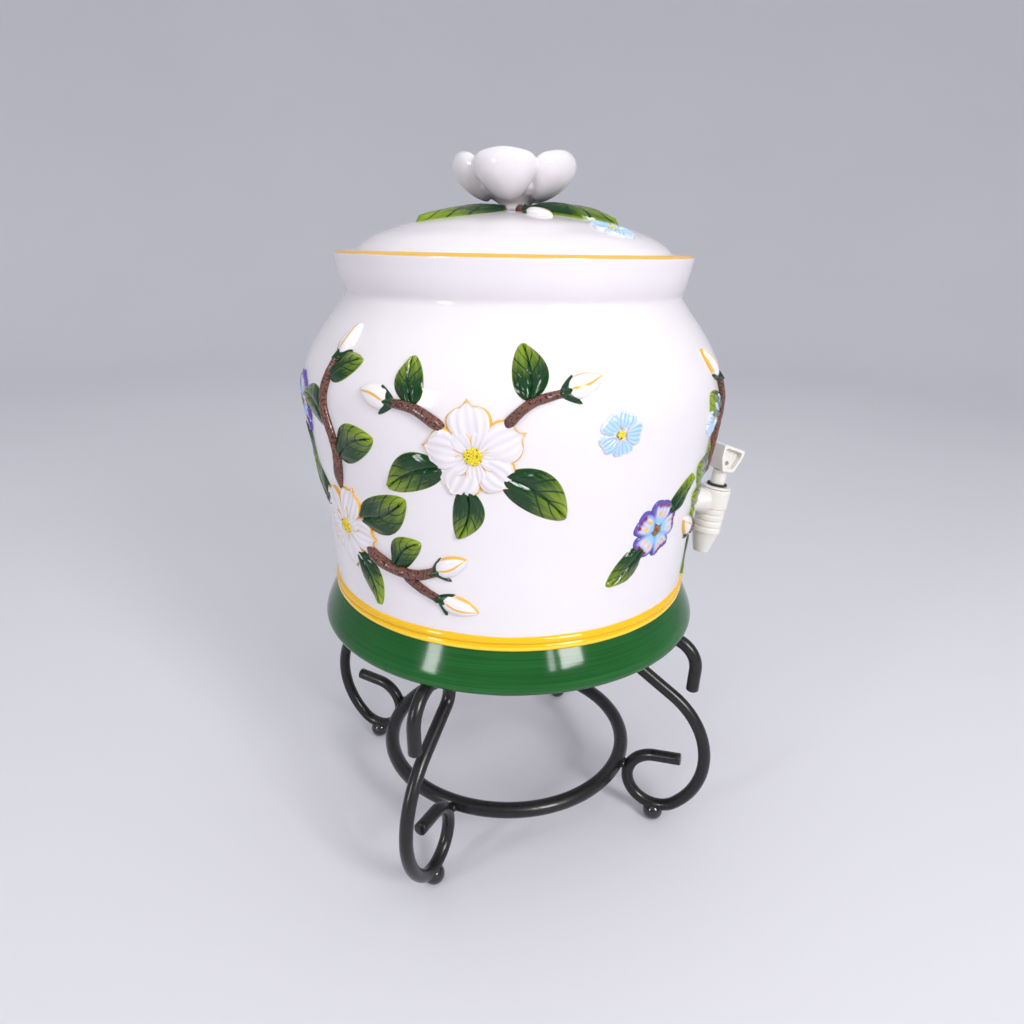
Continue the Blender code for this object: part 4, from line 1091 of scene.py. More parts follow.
def lid_outline():
    top = [(0.0, LID_RISE)]
    top += [(out * LID_EDGE_RADIUS, LID_EDGE + up * (LID_RISE - LID_EDGE))
            for out, up in reversed(DOME_SHARES)]
    top.append((LID_EDGE_RADIUS, LID_EDGE))
    down = smooth_row(top, 7)
    down += arc((LID_EDGE_RADIUS - LID_ROUND, LID_ROUND), LID_ROUND, 0.0, -90.0, 4)
    down += [(LID_LIP_RADIUS + LIP_CHAMFER, 0.0), (LID_LIP_RADIUS, -LIP_CHAMFER)]
    inner = LID_LIP_RADIUS - LID_LIP_WIDTH
    foot = -LID_LIP_DROP + LID_ROUND
    down += arc((LID_LIP_RADIUS - 1.7 * MM, foot), LID_ROUND, 0.0, -90.0, 4)
    down += arc((inner + LID_ROUND, foot), LID_ROUND, -90.0, -180.0, 4)
    under = [(inner, foot + 0.2 * MM)]
    for out, up in DOME_SHARES[2:]:
        if out * LID_EDGE_RADIUS < inner:
            under.append((out * LID_EDGE_RADIUS,
                          LID_EDGE + up * (LID_RISE - LID_EDGE) - LID_THICKNESS))
    under.append((0.0, LID_RISE - LID_THICKNESS))
    down += smooth_row(under, 6)[1:]
    return down


def knob_petal(point):
    """A cupped petal on +X: broad and slightly peaked at its top, narrow at its foot."""
    x, y, z = point
    high = z * (1 + 0.22 * y * y)
    taper = 0.74 + 0.26 * min(1.0, max(0.0, high + 1.0) / 1.2)
    angle = y * (1 + 0.34 * z * z) * taper * PETAL_HALF_WIDTH / PETAL_OFFSET
    peak = 0.7 * MM * math.exp(-(y / 0.28) ** 2) * max(0.0, z)
    thick = PETAL_HALF_THICKNESS * (1.0 if x > 0 else 0.6)
    radius = PETAL_OFFSET + 1.2 * MM + PETAL_LEAN * (high - 0.45 * high ** 2) + x * thick
    return Vector((radius * math.cos(angle), radius * math.sin(angle),
                   high * PETAL_HALF_HEIGHT + peak))


def build_lid(look):
    white = lid_glaze(look)
    clay = Clay()
    clay.turn(lid_outline(), 192, Matrix.Translation(AXIS + Vector((0, 0, LID_Z))))
    clay.make("lid_shell", white, "cover", "lid_glaze", ("lid",), sharp=40.0)

    cap = LID_RISE + KNOB_WAIST_HEIGHT
    flower = Clay()
    stand = Matrix.Translation(AXIS + Vector((0, 0, LID_Z)))
    cup = [(0.0, cap + KNOB_CUP_HEIGHT * 0.62)]
    cup += [(KNOB_CUP_RADIUS * out, cap + KNOB_CUP_HEIGHT * up) for out, up in CUP_SHARES]
    cup += [(KNOB_WAIST_RADIUS, cap - KNOB_WAIST_HEIGHT * 0.4),
            (KNOB_WAIST_RADIUS, LID_RISE + 1.6 * MM), (KNOB_WAIST_RADIUS + 1.6 * MM, LID_RISE),
            (KNOB_WAIST_RADIUS + 2.4 * MM, LID_RISE - 1.4 * MM), (0.0, LID_RISE - 2.4 * MM)]
    flower.turn(cup, 64, stand)
    for number in range(PETALS):
        azimuth = math.radians(PETAL_FIRST_AZIMUTH + PETAL_TURN * number)
        flower.ball(stand @ Matrix.Rotation(azimuth, 4, "Z")
                    @ Matrix.Translation((0.0, 0.0, cap + KNOB_CUP_HEIGHT)),
                    56, 40, shape=knob_petal)
    made = flower.make("lid_knob", white, "cover", "lid_glaze", sharp=40.0)
    grain = made.modifiers.new("grain", "REMESH")
    grain.mode = "VOXEL"
    grain.voxel_size = 0.65 * MM
    soften = made.modifiers.new("soften", "SMOOTH")
    soften.factor = 0.5
    soften.iterations = 6
    settle(made)
    made.data.materials.clear()
    made.data.materials.append(white)
    made.data.shade_smooth()


# Moulded relief --------------------------------------------------------------------------

def swell(share, start, end):
    """A petal-like rise and fall with its peak of 1 at start / (start + end)."""
    peak = start / (start + end)
    share = min(max(share, 1e-5), 1 - 1e-5)
    return (share / peak) ** start * ((1 - share) / (1 - peak)) ** end


def edge_distance(s, t, size, width):
    """How far a spot of a relief lies from its edge, in mm."""
    return min((1 - abs(t)) * width, (1 - s) * size * 0.8) / MM


def petal_shape(size, half, rise, near, base, form, tip, seed):
    """A fluted petal with a raised edge, from near the blossom's middle outwards; form is
    its two shape powers, and tip draws its end to a point or notches it."""
    def shape(s, t):
        ragged = 1 + 0.05 * s * math.sin(7.0 * s + seed + t)
        width = half * (0.05 + 0.95 * swell(s, *form)) * ragged
        u = near + size * s * (1 + tip * s ** 4 * (math.exp(-(t / 0.35) ** 2) - 0.3))
        rim = edge_distance(s, t, size, width)
        flutes = FLUTE_DEPTH * math.cos(t * 16.0 + seed) * math.sqrt(math.sin(math.pi * s))
        ridge = RIDGE_RISE * math.exp(-((rim - 0.9) / 0.45) ** 2)
        lift = base * min(1.0, 2.2 * (1 - s) + 0.35)
        lift += rise * (0.50 + 0.50 * math.sin(math.pi * min(s * 1.1, 1.0)))
        lift -= 0.30 * rise * math.exp(-(t / 0.20) ** 2) * math.sin(math.pi * s)
        lift += 0.18 * rise * math.sin(5.0 * s + 2.0 * t + seed)
        lift = (lift + flutes + ridge) * (1 - abs(t) ** 9) * min(1.0, (1 - s) / 0.04)
        return u, t * width, max(lift, -0.2 * MM), (s, t, rim)
    return shape


def lay_at(sheet, place, turn):
    """A laying function for one motif part that is turned about the motif's middle."""
    c, s = math.cos(math.radians(turn)), math.sin(math.radians(turn))

    def lay(u, v, lift):
        return sheet.spot(place, u * c - v * s, u * s + v * c, lift)
    return lay


def blossom(clay, eye, sheet, place, size, half, rise, base, form, tip, rng, sink,
            inner=None):
    """Five petals round a middle, and a second row of shorter ones where inner is given."""
    for number in range(PETALS):
        turn = PETAL_TURN * number + rng.uniform(-4.0, 4.0)
        grown = size * rng.uniform(0.93, 1.03)
        clay.patch(lay_at(sheet, place, turn), 26, 36,
                   petal_shape(grown - 3 * MM, half * rng.uniform(0.94, 1.05), rise, 3 * MM,
                               base * (0.8 + 0.2 * (number % 2)), form, tip,
                               rng.uniform(0.0, 6.0)), sink)
    lifted = 0.0
    if inner:
        share, lifted = inner
        for number in range(PETALS):
            turn = PETAL_TURN * (number + 0.5) + rng.uniform(-6.0, 6.0)
            clay.patch(lay_at(sheet, place, turn), 16, 26,
                       petal_shape(size * share, half * share, rise * 0.5, 2 * MM,
                                   base + lifted, (0.75, 0.6), tip, rng.uniform(0.0, 6.0)),
                       sink)
    middle = sheet.spot(place, 0.0, 0.0, 0.0)
    out = (sheet.spot(place, 0.0, 0.0, 1 * MM) - middle).normalized()
    aim = out.to_track_quat("Z", "Y").to_matrix().to_4x4()
    button = size * 0.19
    high = base + lifted + rise * 0.8
    dome = high * 0.28
    eye.ball(Matrix.Translation(middle + out * (high - dome)) @ aim
             @ Matrix.Diagonal((button, button, dome, 1.0)), 20, 12)
    count = int(12 + size / MM * 0.6)
    grain = size * 0.028
    for number in range(count):
        angle = number * GOLDEN_ANGLE
        reach = button * math.sqrt((number + 0.5) / count) * 0.98
        spot = middle + aim.to_3x3() @ Vector((reach * math.cos(angle),
                                               reach * math.sin(angle), 0.0))
        bulge = dome * math.sqrt(max(0.0, 1 - (reach / button) ** 2))
        eye.ball(Matrix.Translation(spot + out * (high - dome + bulge)) @ aim
                 @ Matrix.Diagonal((grain, grain, grain, 1.0)), 8, 6)


def leaf_shape(size, half, bend, rise, side_rise=0.0):
    """A pointed oval leaf with grooves along its rib and side veins; side_rise lifts its
    right side, or its left where negative."""
    def shape(s, t):
        width = half * (0.04 + 0.96 * swell(s, 0.60, 0.78))
        rim = edge_distance(s, t, size, width)
        across_vein = abs(math.sin((s - abs(t) * VEIN_SLANT) * VEIN_PITCH))
        vein = VEIN_DEPTH * max(0.0, 1 - across_vein / 0.45)
        rib = RIB_DEPTH * math.exp(-(t / 0.10) ** 2)
        crown = rise * (0.55 + 0.45 * math.sin(math.pi * min(1.0, abs(t) * 1.15 + 0.12)))
        wave = 0.34 * rise * math.sin(s * 9.0 + t * 2.5) * abs(t)
        raised = abs(side_rise) * (1 + math.copysign(t, side_rise)) / 2 * math.sin(math.pi * s)
        lift = (crown + wave - vein - rib + raised) * (1 - abs(t) ** 7) * min(
            1.0, s / 0.04, (1 - s) / 0.05)
        return size * s, t * width + bend * math.sin(math.pi * s), lift, (s, t, rim)
    return shape


def bud_shape(size, half, rise):
    def shape(s, t):
        width = half * (0.06 + 0.94 * swell(s, 0.45, 0.75))
        rim = edge_distance(s, t, size, width)
        lift = rise * math.sqrt(max(0.0, 1 - t * t)) * (0.25 + 0.75 * swell(s, 0.5, 0.7))
        lift += 0.3 * MM * math.exp(-((t + 0.35) / 0.12) ** 2) * math.sin(math.pi * s)
        return size * s, t * width, lift, (s, t, rim)
    return shape


def sepal_shape(size, half, rise):
    def shape(s, t):
        width = half * (0.10 + 0.90 * swell(s, 0.3, 0.8))
        lift = rise * (1 - t * t) * (1 - 0.55 * s) * min(1.0, (1 - s) / 0.08)
        return size * s, t * width, lift, (s * 0.25, t, 2.0)
    return shape


def twig(bark, buds, greens, sheet, place, radius, points, budded, leaves, rise, rng, sink):
    """A stippled twig through points on the sheet, with leaves along it and, where budded,
    a bud in a green cup at its end."""
    path = smooth_row([(u * MM, v * MM) for u, v in points], 9)
    count = len(path)
    spots, radii = [], []
    for i, (u, v) in enumerate(path):
        share = i / (count - 1)
        root = min(1.0, share / 0.18)
        grown = radius * MM * (1.25 - 0.35 * share) * (0.45 + 0.55 * math.sqrt(root))
        grown *= 1 + 0.10 * noise.noise(Vector((u * 260, v * 260, radius)))
        radii.append(grown)
        spots.append(sheet.spot(place, u, v, grown * (0.25 - 1.15 * (1 - root))))
    bark.rod(spots, radii, 16)

    def lay_from(index, turn, ahead):
        (ua, va), (u1, v1) = path[max(index - 2, 0)], path[index]
        angle = math.atan2(v1 - va, u1 - ua) + math.radians(turn)
        c, s = math.cos(angle), math.sin(angle)

        def lay(u, v, lift):
            u += ahead
            return sheet.spot(place, u1 + u * c - v * s, v1 + u * s + v * c, lift)
        return lay
    for share, turn, size, half, bend in leaves:
        greens.patch(lay_from(max(2, round(share * (count - 1))), turn, 1.5 * MM), 36, 28,
                     leaf_shape(size * MM, half * MM, bend * MM, rise), sink)
    if not budded:
        return
    size = rng.uniform(*BUD_LENGTHS) * MM
    buds.patch(lay_from(count - 1, rng.uniform(-10, 10), 1.0 * MM), 22, 18,
               bud_shape(size, BUD_HALF_WIDTH, BUD_RISE), sink)
    for turn, reach, high in SEPALS:
        greens.patch(lay_from(count - 1, turn, -SEPAL_HALF_WIDTH), 12, 10,
                     sepal_shape(reach * MM, SEPAL_HALF_WIDTH, high * MM), sink)


def motifs():
    """For a motif on the wall or the dome: its sheet, body, material slot and place."""
    wall, dome = Wall(), Dome()

    def on_wall(azimuth, share, turn=0.0):
        return wall, "pot", "crock_glaze", (azimuth, share * CROCK_HEIGHT, turn)

    def on_dome(azimuth, distance, turn=0.0):
        return dome, "cover", "lid_glaze", (azimuth, distance * MM, turn)
    return on_wall, on_dome


def build_white_blossoms(look, sizes):
    on_wall, _ = motifs()
    white = petal_glaze(look)
    pollen = eye_glaze(look, "pollen_glaze", look.pollen, look.soot, 620.0)
    for number, (azimuth, share, turn) in enumerate(WHITE_BLOSSOMS, 1):
        rng = random.Random(number)
        sheet, body, slot, place = on_wall(azimuth, share, turn)
        petals, eye = Clay(), Clay()
        blossom(petals, eye, sheet, place, sizes.white_petal, 10.8 * MM, sizes.white_rise,
                0.5 * MM, (0.85, 0.56), 0.15, rng, sizes.sink, inner=(0.54, 0.7 * MM))
        petals.make(f"white_blossom_{number}", white, body, slot)
        eye.make(f"white_eye_{number}", pollen, body, slot)


def build_small_blossoms(look, sizes):
    on_wall, on_dome = motifs()
    sky = sky_glaze(look)
    striped = eye_glaze(look, "striped_glaze", look.pollen, look.soot, 430.0)
    umber = eye_glaze(look, "umber_glaze", look.bark, look.bark_dark, 520.0)
    blue = (sky, striped, sizes.blue_petal, 5.8 * MM, sizes.blue_rise)
    violet = (violet_glaze(look), umber, sizes.violet_petal, 8.2 * MM, sizes.violet_rise)
    for kind, seed, rows, where, (petal, middle, size, half, rise) in (
            ("violet", 106, VIOLET_BLOSSOMS, on_wall, violet),
            ("blue", 104, BLUE_BLOSSOMS, on_wall, blue),
            ("lid", 300, LID_BLUE_BLOSSOMS, on_dome, blue)):
        for number, row in enumerate(rows, 1):
            rng = random.Random(seed + number)
            sheet, body, slot, place = where(*row)
            petals, eye = Clay(), Clay()
            blossom(petals, eye, sheet, place, size, half, rise, 0.3 * MM, (0.6, 0.28),
                    -0.06, rng, sizes.sink)
            petals.make(f"{kind}_blossom_{number}", petal, body, slot)
            eye.make(f"{kind}_eye_{number}", middle, body, slot)


def build_leaves_and_twigs(look, sizes):
    on_wall, on_dome = motifs()
    green, brown, white = leaf_glaze(look), bark_glaze(look), bud_glaze(look)
    leaves = [("leaf", number, on_wall(azimuth, share), heading, away,
               leaf_shape(size * LEAF_GROWTH * MM, half * LEAF_GROWTH * MM, bend * MM,
                          sizes.leaf_rise))
              for number, (azimuth, share, heading, away, size, half, bend)
              in enumerate(LEAVES, 1)]
    leaves += [("lid_leaf", number, on_dome(azimuth, away), heading, 0.0,
                leaf_shape(size * MM, half * MM, bend * MM,
                           sizes.leaf_rise * LID_LEAF_RISE, side * MM))
               for number, (azimuth, away, heading, size, half, bend, side)
               in enumerate(LID_LEAVES, 1)]
    for kind, number, (sheet, body, slot, place), heading, away, shape in leaves:
        clay = Clay()
        turn = lay_at(sheet, place, heading)
        clay.patch(lambda u, v, lift: turn(u + away * MM, v, lift), 40, 30, shape, sizes.sink)
        clay.make(f"{kind}_{number}", green, body, slot)
    twigs = [("twig", on_wall(azimuth, share), form) for azimuth, share, *form in TWIGS]
    twigs += [("lid_twig", on_dome(azimuth, 0.0), (*form, ())) for azimuth, *form in LID_TWIGS]
    for number, (kind, (sheet, body, slot, place), form) in enumerate(twigs, 1):
        bark, bud, greens = Clay(), Clay(), Clay()
        twig(bark, bud, greens, sheet, place, *form, sizes.leaf_rise, random.Random(number),
             sizes.sink)
        for clay, part, finish in ((bark, "", brown), (bud, "_bud", white),
                                   (greens, "_green", green)):
            if clay.points:
                clay.make(f"{kind}{part}_{number}", finish, body, slot, sharp=70.0)


# Stand -----------------------------------------------------------------------------------

def leg_path():
    """The leg's centre line in the (radius, height) plane, and its low curl's centre."""
    centre_height = ROD_LIFT + LEG_ROD_RADIUS + LOW_CURL_RADIUS
    reach = LOW_CURL_RADIUS + LEG_ROD_RADIUS + ROD_GAP + RING_ROD_RADIUS
    rise = LOWER_RING_HEIGHT - centre_height
    centre_radius = LOWER_RING_RADIUS + math.sqrt(reach ** 2 - rise ** 2)
    heading = math.radians(LOW_CURL_HEADING)
    points = [Vector((
        centre_radius + LOW_CURL_RADIUS * math.sin(heading) - LOW_CURL_TAIL * math.cos(heading),
        centre_height - LOW_CURL_RADIUS * math.cos(heading)
        - LOW_CURL_TAIL * math.sin(heading)))]

    def run(size, steps=5):
        step = Vector((math.cos(heading), math.sin(heading))) * size
        for i in range(1, steps + 1):
            points.append(start + step * (i / steps))

    start = points[-1]
    run(LOW_CURL_TAIL)
    for size, turn in LEG_MOVES:
        size *= MM
        start = points[-1]
        if turn is None:
            run(size)
            continue
        side = math.copysign(1.0, turn)
        along = Vector((math.cos(heading), math.sin(heading)))
        centre = start + Vector((-along.y, along.x)) * size * side
        count = max(4, math.ceil(abs(turn) / 4))
        for i in range(1, count + 1):
            points.append(centre + Matrix.Rotation(math.radians(turn) * i / count, 2)
                          @ (start - centre))
        heading += math.radians(turn)
    return points, centre_radius, centre_height


def cut_ends(points, radius):
    """Radii that give a rod's sawn ends a small bevel, and the points for it."""
    points = [Vector(point) for point in points]
    first, second = points[0], points[1]
    last, before = points[-1], points[-2]
    bevel = radius * 0.12
    head = first + (second - first).normalized() * bevel
    tail = last + (before - last).normalized() * bevel
    row = [first, head, *points[1:-1], tail, last]
    radii = [radius - bevel] + [radius] * (len(row) - 2) + [radius - bevel]
    return row, radii


def bead(clay, at, size, seed):
    """A lump of weld, a little uneven."""
    def lump(point):
        return point * (1 + 0.16 * noise.noise(point * 2.2 + Vector((seed, 0, 0))))
    clay.ball(Matrix.Translation(at) @ Matrix.Diagonal((*size, 1.0)), 20, 14, shape=lump)


def build_stand(look):
    paint, gloss = rod_paint(look), ball_gloss(look)
    points, curl_radius, curl_height = leg_path()
    upper = [p for p in points if p.y > CROCK_Z / 2]
    inmost = min(upper, key=lambda p: p.x)
    rings = (
        ("lower_ring", LOWER_RING_RADIUS, LOWER_RING_HEIGHT),
        ("upper_ring", inmost.x - LEG_ROD_RADIUS - ROD_GAP - RING_ROD_RADIUS, inmost.y),
    )
    for name, radius, height in rings:
        clay = Clay()
        turns = [2 * math.pi * i / RING_STEPS for i in range(RING_STEPS)]
        clay.rod([AXIS + Vector((radius * math.cos(a), radius * math.sin(a), height))
                  for a in turns], RING_ROD_RADIUS, ROD_SIDES, closed=True)
        clay.make(f"{name}_rod", paint, "stand", "stand_paint", (name,))
    for number, azimuth in enumerate(LEG_AZIMUTHS, 1):
        angle = math.radians(azimuth)
        across = Vector((math.cos(angle), math.sin(angle), 0.0))
        row, radii = cut_ends([AXIS + across * p.x + Vector((0, 0, p.y)) for p in points],
                              LEG_ROD_RADIUS)
        clay = Clay()
        clay.rod(row, radii, ROD_SIDES)
        clay.make(f"leg_{number}_rod", paint, "stand", "stand_paint", (f"leg_{number}",), 50.0)

        weld = Clay()
        curl = Vector((curl_radius, curl_height))
        ring = Vector((LOWER_RING_RADIUS, LOWER_RING_HEIGHT))
        touch = ring + (curl - ring).normalized() * RING_ROD_RADIUS
        side = Vector((-across.y, across.x, 0.0))
        for k, push in enumerate((-1.6, 0.0, 1.7)):
            bead(weld, AXIS + across * touch.x + Vector((0, 0, touch.y + 0.6 * MM))
                 + side * push * MM, WELD_SIZE, number * 5.0 + k)
        join = Vector((inmost.x - LEG_ROD_RADIUS, inmost.y))
        bead(weld, AXIS + across * join.x + Vector((0, 0, join.y)), TOP_WELD_SIZE,
             number * 7.0)
        weld.make(f"weld_{number}", paint, "stand", "stand_paint", sharp=70.0)

        foot = Clay()

        def flat(point):
            lowest = -BALL_CENTRE / BALL_RADIUS
            return Vector((point.x, point.y, max(point.z, lowest)))
        spot = AXIS + across * curl_radius
        foot.ball(Matrix.Translation(spot + Vector((0, 0, BALL_CENTRE)))
                  @ Matrix.Diagonal((BALL_RADIUS, BALL_RADIUS, BALL_RADIUS, 1.0)),
                  40, 30, shape=flat)
        foot.make(f"foot_{number}_ball", gloss, "stand", "foot_gloss", (f"foot_{number}",))
        collar = Clay()
        collar.turn(COLLAR, 28, Matrix.Translation(spot))
        collar.make(f"foot_{number}_collar", paint, "stand", "stand_paint")


# Tap -------------------------------------------------------------------------------------

def build_tap(look):
    plastic, rubber, steel = tap_plastic(look), washer_rubber(look), spring_steel(look)
    axis = tap_frame()
    sleeve_end = BARREL_STEP - SLEEVE_LENGTH
    spout_end = sleeve_end - SPOUT_LENGTH
    outer = [(CHAMBER_RADIUS, BARREL_TOP)]
    outer += soft_corner((CHAMBER_RADIUS, BARREL_TOP), (BARREL_RADIUS, BARREL_TOP),
                         (BARREL_RADIUS, 0.0), 0.9 * MM)
    outer += soft_corner((BARREL_RADIUS, 0.0), (BARREL_RADIUS, BARREL_STEP),
                         (SLEEVE_RADIUS - 0.5 * MM, BARREL_STEP), 0.4 * MM)
    pitch = SLEEVE_LENGTH / 4
    for number in range(4):
        top = BARREL_STEP - number * pitch
        for share, dip in ((0.05, 0.5), (0.12, 0.12), (0.20, 0.0), (0.50, -0.05), (0.80, 0.0),
                           (0.90, 0.12), (0.97, 0.5)):
            outer.append((SLEEVE_RADIUS - dip * MM, top - pitch * share))
    outer += soft_corner((SLEEVE_RADIUS, sleeve_end + 1 * MM), (SLEEVE_RADIUS, sleeve_end),
                         (SPOUT_TOP_RADIUS, sleeve_end), 0.3 * MM)
    outer += [(SPOUT_TOP_RADIUS, sleeve_end - 0.2 * MM)]
    outer += soft_corner((SPOUT_TOP_RADIUS, sleeve_end), (SPOUT_END_RADIUS, spout_end),
                         (OUTLET_RADIUS, spout_end), 0.5 * MM)
    outer += [(OUTLET_RADIUS, spout_end + 0.3 * MM), (OUTLET_RADIUS, CHAMBER_LOW),
              (CHAMBER_RADIUS, CHAMBER_LOW)]
    body = Clay()
    body.turn(outer, 96, axis, closed=True)
    washer_start = TAP_REACH - FIT_GAP - WASHER_THICKNESS
    flange_end = washer_start - FIT_GAP
    flange = flange_end - FLANGE_THICKNESS
    start = CHAMBER_RADIUS + 0.5 * MM
    shank = [(SHANK_BORE, start), (SHANK_RADIUS + 2.2 * MM, start + 1.2 * MM),
             (SHANK_RADIUS + 0.6 * MM, start + 4.2 * MM), (SHANK_RADIUS, start + 6 * MM),
             (SHANK_RADIUS, flange - 2 * MM), (SHANK_RADIUS + 2 * MM, flange)]
    shank += soft_corner((SHANK_RADIUS, flange), (FLANGE_RADIUS, flange),
                         (FLANGE_RADIUS, flange_end), 1.0 * MM)
    shank += soft_corner((FLANGE_RADIUS, flange), (FLANGE_RADIUS, flange_end),
                         (SHANK_RADIUS, flange_end), 0.4 * MM)
    shank += [(SHANK_RADIUS, flange_end)]
    ridge = INNER_FACE
    while ridge < SHANK_END - 2 * MM:
        shank += [(SHANK_RADIUS, ridge),
                  (SHANK_RADIUS - THREAD_DEPTH, ridge + THREAD_PITCH * 0.5)]
        ridge += THREAD_PITCH
    shank += [(SHANK_RADIUS, SHANK_END - 1 * MM), (SHANK_RADIUS - 0.8 * MM, SHANK_END),
              (SHANK_BORE, SHANK_END)]
    body.turn(shank, 64, along_shank(0.0), closed=True)
    body.make("tap_body_shell", plastic, "pot", "tap_plastic", ("tap_body",), 45.0)

    cap = Clay()
    rounded_cap = softened([(STEM_BORE, NECK_TOP), (NECK_RADIUS, NECK_TOP),
                            (NECK_RADIUS, CAP_HIGH), (CAP_RADIUS, CAP_HIGH),
                            (CAP_RADIUS, CAP_LOW), (CHAMBER_RADIUS - FIT_GAP, CAP_LOW),
                            (CHAMBER_RADIUS - FIT_GAP, PLUG_END), (STEM_BORE, PLUG_END)],
                           0.5 * MM, True)
    cap.turn(rounded_cap, 80, axis, closed=True)
    cap.make("tap_cap_shell", plastic, "pot", "tap_plastic", ("tap_cap",), 45.0)

    ring = Clay()
    centre = (NECK_RADIUS + FIT_GAP + RING_WIRE, CAP_HIGH + FIT_GAP + RING_WIRE)
    ring.turn(arc(centre, RING_WIRE, 0.0, 345.0, 23), 64, axis, closed=True)
    ring.make("neck_ring_rubber", rubber, "pot", "washer_rubber", ("neck_ring",))

    inner = SHANK_RADIUS + FIT_GAP
    washer_outline = softened([(inner, 0.0), (WASHER_RADIUS, 0.0),
                               (WASHER_RADIUS, WASHER_THICKNESS),
                               (inner, WASHER_THICKNESS)], 0.6 * MM, True)
    for name, start in (("outer_washer", washer_start),
                        ("inner_washer", INNER_FACE + FIT_GAP)):
        washer = Clay()
        washer.turn(washer_outline, 64, along_shank(start), closed=True)
        washer.make(f"{name}_rubber", rubber, "pot", "washer_rubber", (name,))

    for name, finish, bevel in (
            ("lock_nut", plastic, 0.7), ("lever", plastic, 0.5), ("tap_stem", plastic, 0.25),
            ("lever_pin", steel, 0.3), ("seat_washer", rubber, 0.3),
            ("tap_spring", steel, 0.0)):
        node = frame["nodes"][name]
        for slot in node.material_slots:
            slot.material = finish
        if bevel:
            weld = node.modifiers.new("weld", "WELD")
            weld.merge_threshold = 0.01 * MM
            edge = node.modifiers.new("edge", "BEVEL")
            edge.width = bevel * MM
            edge.segments = 3
            edge.limit_method = "ANGLE"
            edge.angle_limit = math.radians(35.0)
            edge.harden_normals = True


# Studio ----------------------------------------------------------------------------------

ROOM_RADIUS = 3.2
ROOM_HEIGHT = 2.7
COVE_RADIUS = 1.2
MIDDLE = (0.0, 0.0, 0.25)
RIGHT_WINDOW = (-1.42, -0.36, 0.95)
RIGHT_PANE = (-1.50, -0.06, 0.95)
LEFT_WINDOW = (-0.66, 1.46, 0.68)
CEILING = (-0.4, 0.2, 2.3)
# The camera stands off the pot's front left and looks down at it
CAMERA_PLACE = (-0.4238, 0.1944, 0.3726)
CAMERA_FORWARD = (0.8724, -0.3516, -0.3397)
CAMERA_RIGHT = (-0.3684, -0.9295, 0.0159)


def soft_light(name, place, power, wide, high):
    """A window-like light that faces the pot."""
    lamp = bpy.data.lights.new(name, "AREA")
    lamp.shape = "RECTANGLE"
    lamp.size = wide
    lamp.size_y = high
    lamp.energy = power
    lamp.spread = math.radians(150.0)
    made = bpy.data.objects.new(name, lamp)
    made.location = place
    made.rotation_euler = (Vector(MIDDLE) - Vector(place)).to_track_quat("-Z", "Y").to_euler()
    bpy.context.scene.collection.objects.link(made)
    return made


def build_studio(look):
    clay = Clay()
    profile = [(0.0, 0.0), (0.4, 0.0), (1.0, 0.0)]
    profile += arc((ROOM_RADIUS - COVE_RADIUS, COVE_RADIUS), COVE_RADIUS, -90.0, 0.0, 16)
    profile += [(ROOM_RADIUS, 2.0), (ROOM_RADIUS, ROOM_HEIGHT)]
    clay.turn(profile, 96, Matrix.Identity(4))
    mesh = bpy.data.meshes.new("backdrop")
    mesh.from_pydata(clay.points, [], clay.faces)
    even_faces(mesh)
    floor = bpy.data.objects.new("backdrop", mesh)
    bpy.context.scene.collection.objects.link(floor)
    recipe = Recipe("backdrop_paper", specular_ior_level=0.12)
    cloud = recipe.noise(1.6, 2.0)
    recipe.feed("Base Color", recipe.mix(cloud * 0.35, look.floor, tint(206, 205, 213)))
    recipe.feed("Roughness", cloud * 0.1 + 0.7)
    mesh.materials.append(recipe.material)

    world = bpy.data.worlds.new("studio")
    bpy.context.scene.world = world
    world.use_nodes = True
    sky = world.node_tree.nodes["Background"]
    sky.inputs["Color"].default_value = (*tint(240, 242, 243), 1.0)
    sky.inputs["Strength"].default_value = look.sky_strength
    soft_light("right_window", RIGHT_WINDOW, look.key_power, 0.36, 0.62)
    soft_light("right_pane", RIGHT_PANE, look.key_power * 0.15, 0.10, 0.62)
    soft_light("left_window", LEFT_WINDOW, look.fill_power, 0.22, 0.50)
    for name, place, power, wide, high in (
            ("right_glint", RIGHT_WINDOW, look.key_power, 0.34, 0.60),
            ("left_glint", LEFT_WINDOW, look.fill_power, 0.20, 0.34)):
        soft_light(name, place, power, wide, high).visible_diffuse = False
    ceiling = soft_light("ceiling", CEILING, look.ceiling_power, 1.8, 1.8)
    ceiling.visible_glossy = False
    bpy.context.scene.view_settings.view_transform = "Standard"

    camera = bpy.data.objects.new("camera", bpy.data.cameras.new("camera"))
    bpy.context.scene.collection.objects.link(camera)
    bpy.context.scene.camera = camera
    camera.data.lens = look.lens
    camera.data.clip_start = 0.01
    forward = Vector(CAMERA_FORWARD).normalized()
    right = Vector(CAMERA_RIGHT).normalized()
    up = right.cross(forward)
    turn = Matrix((right, up, -forward)).transposed().to_4x4()
    camera.matrix_world = Matrix.Translation(CAMERA_PLACE) @ turn


class POT_OT_crock(bpy.types.Operator):
    """Turn the crock's wall, foot and rim and glaze its bands"""
    bl_idname = "pot.crock"
    bl_label = "Crock"

    def execute(self, context):
        build_crock(context.scene.pot_glaze)
        return {"FINISHED"}


class POT_OT_lid(bpy.types.Operator):
    """Turn the lid and model its blossom knob"""
    bl_idname = "pot.lid"
    bl_label = "Lid and knob"

    def execute(self, context):
        build_lid(context.scene.pot_glaze)
        return {"FINISHED"}


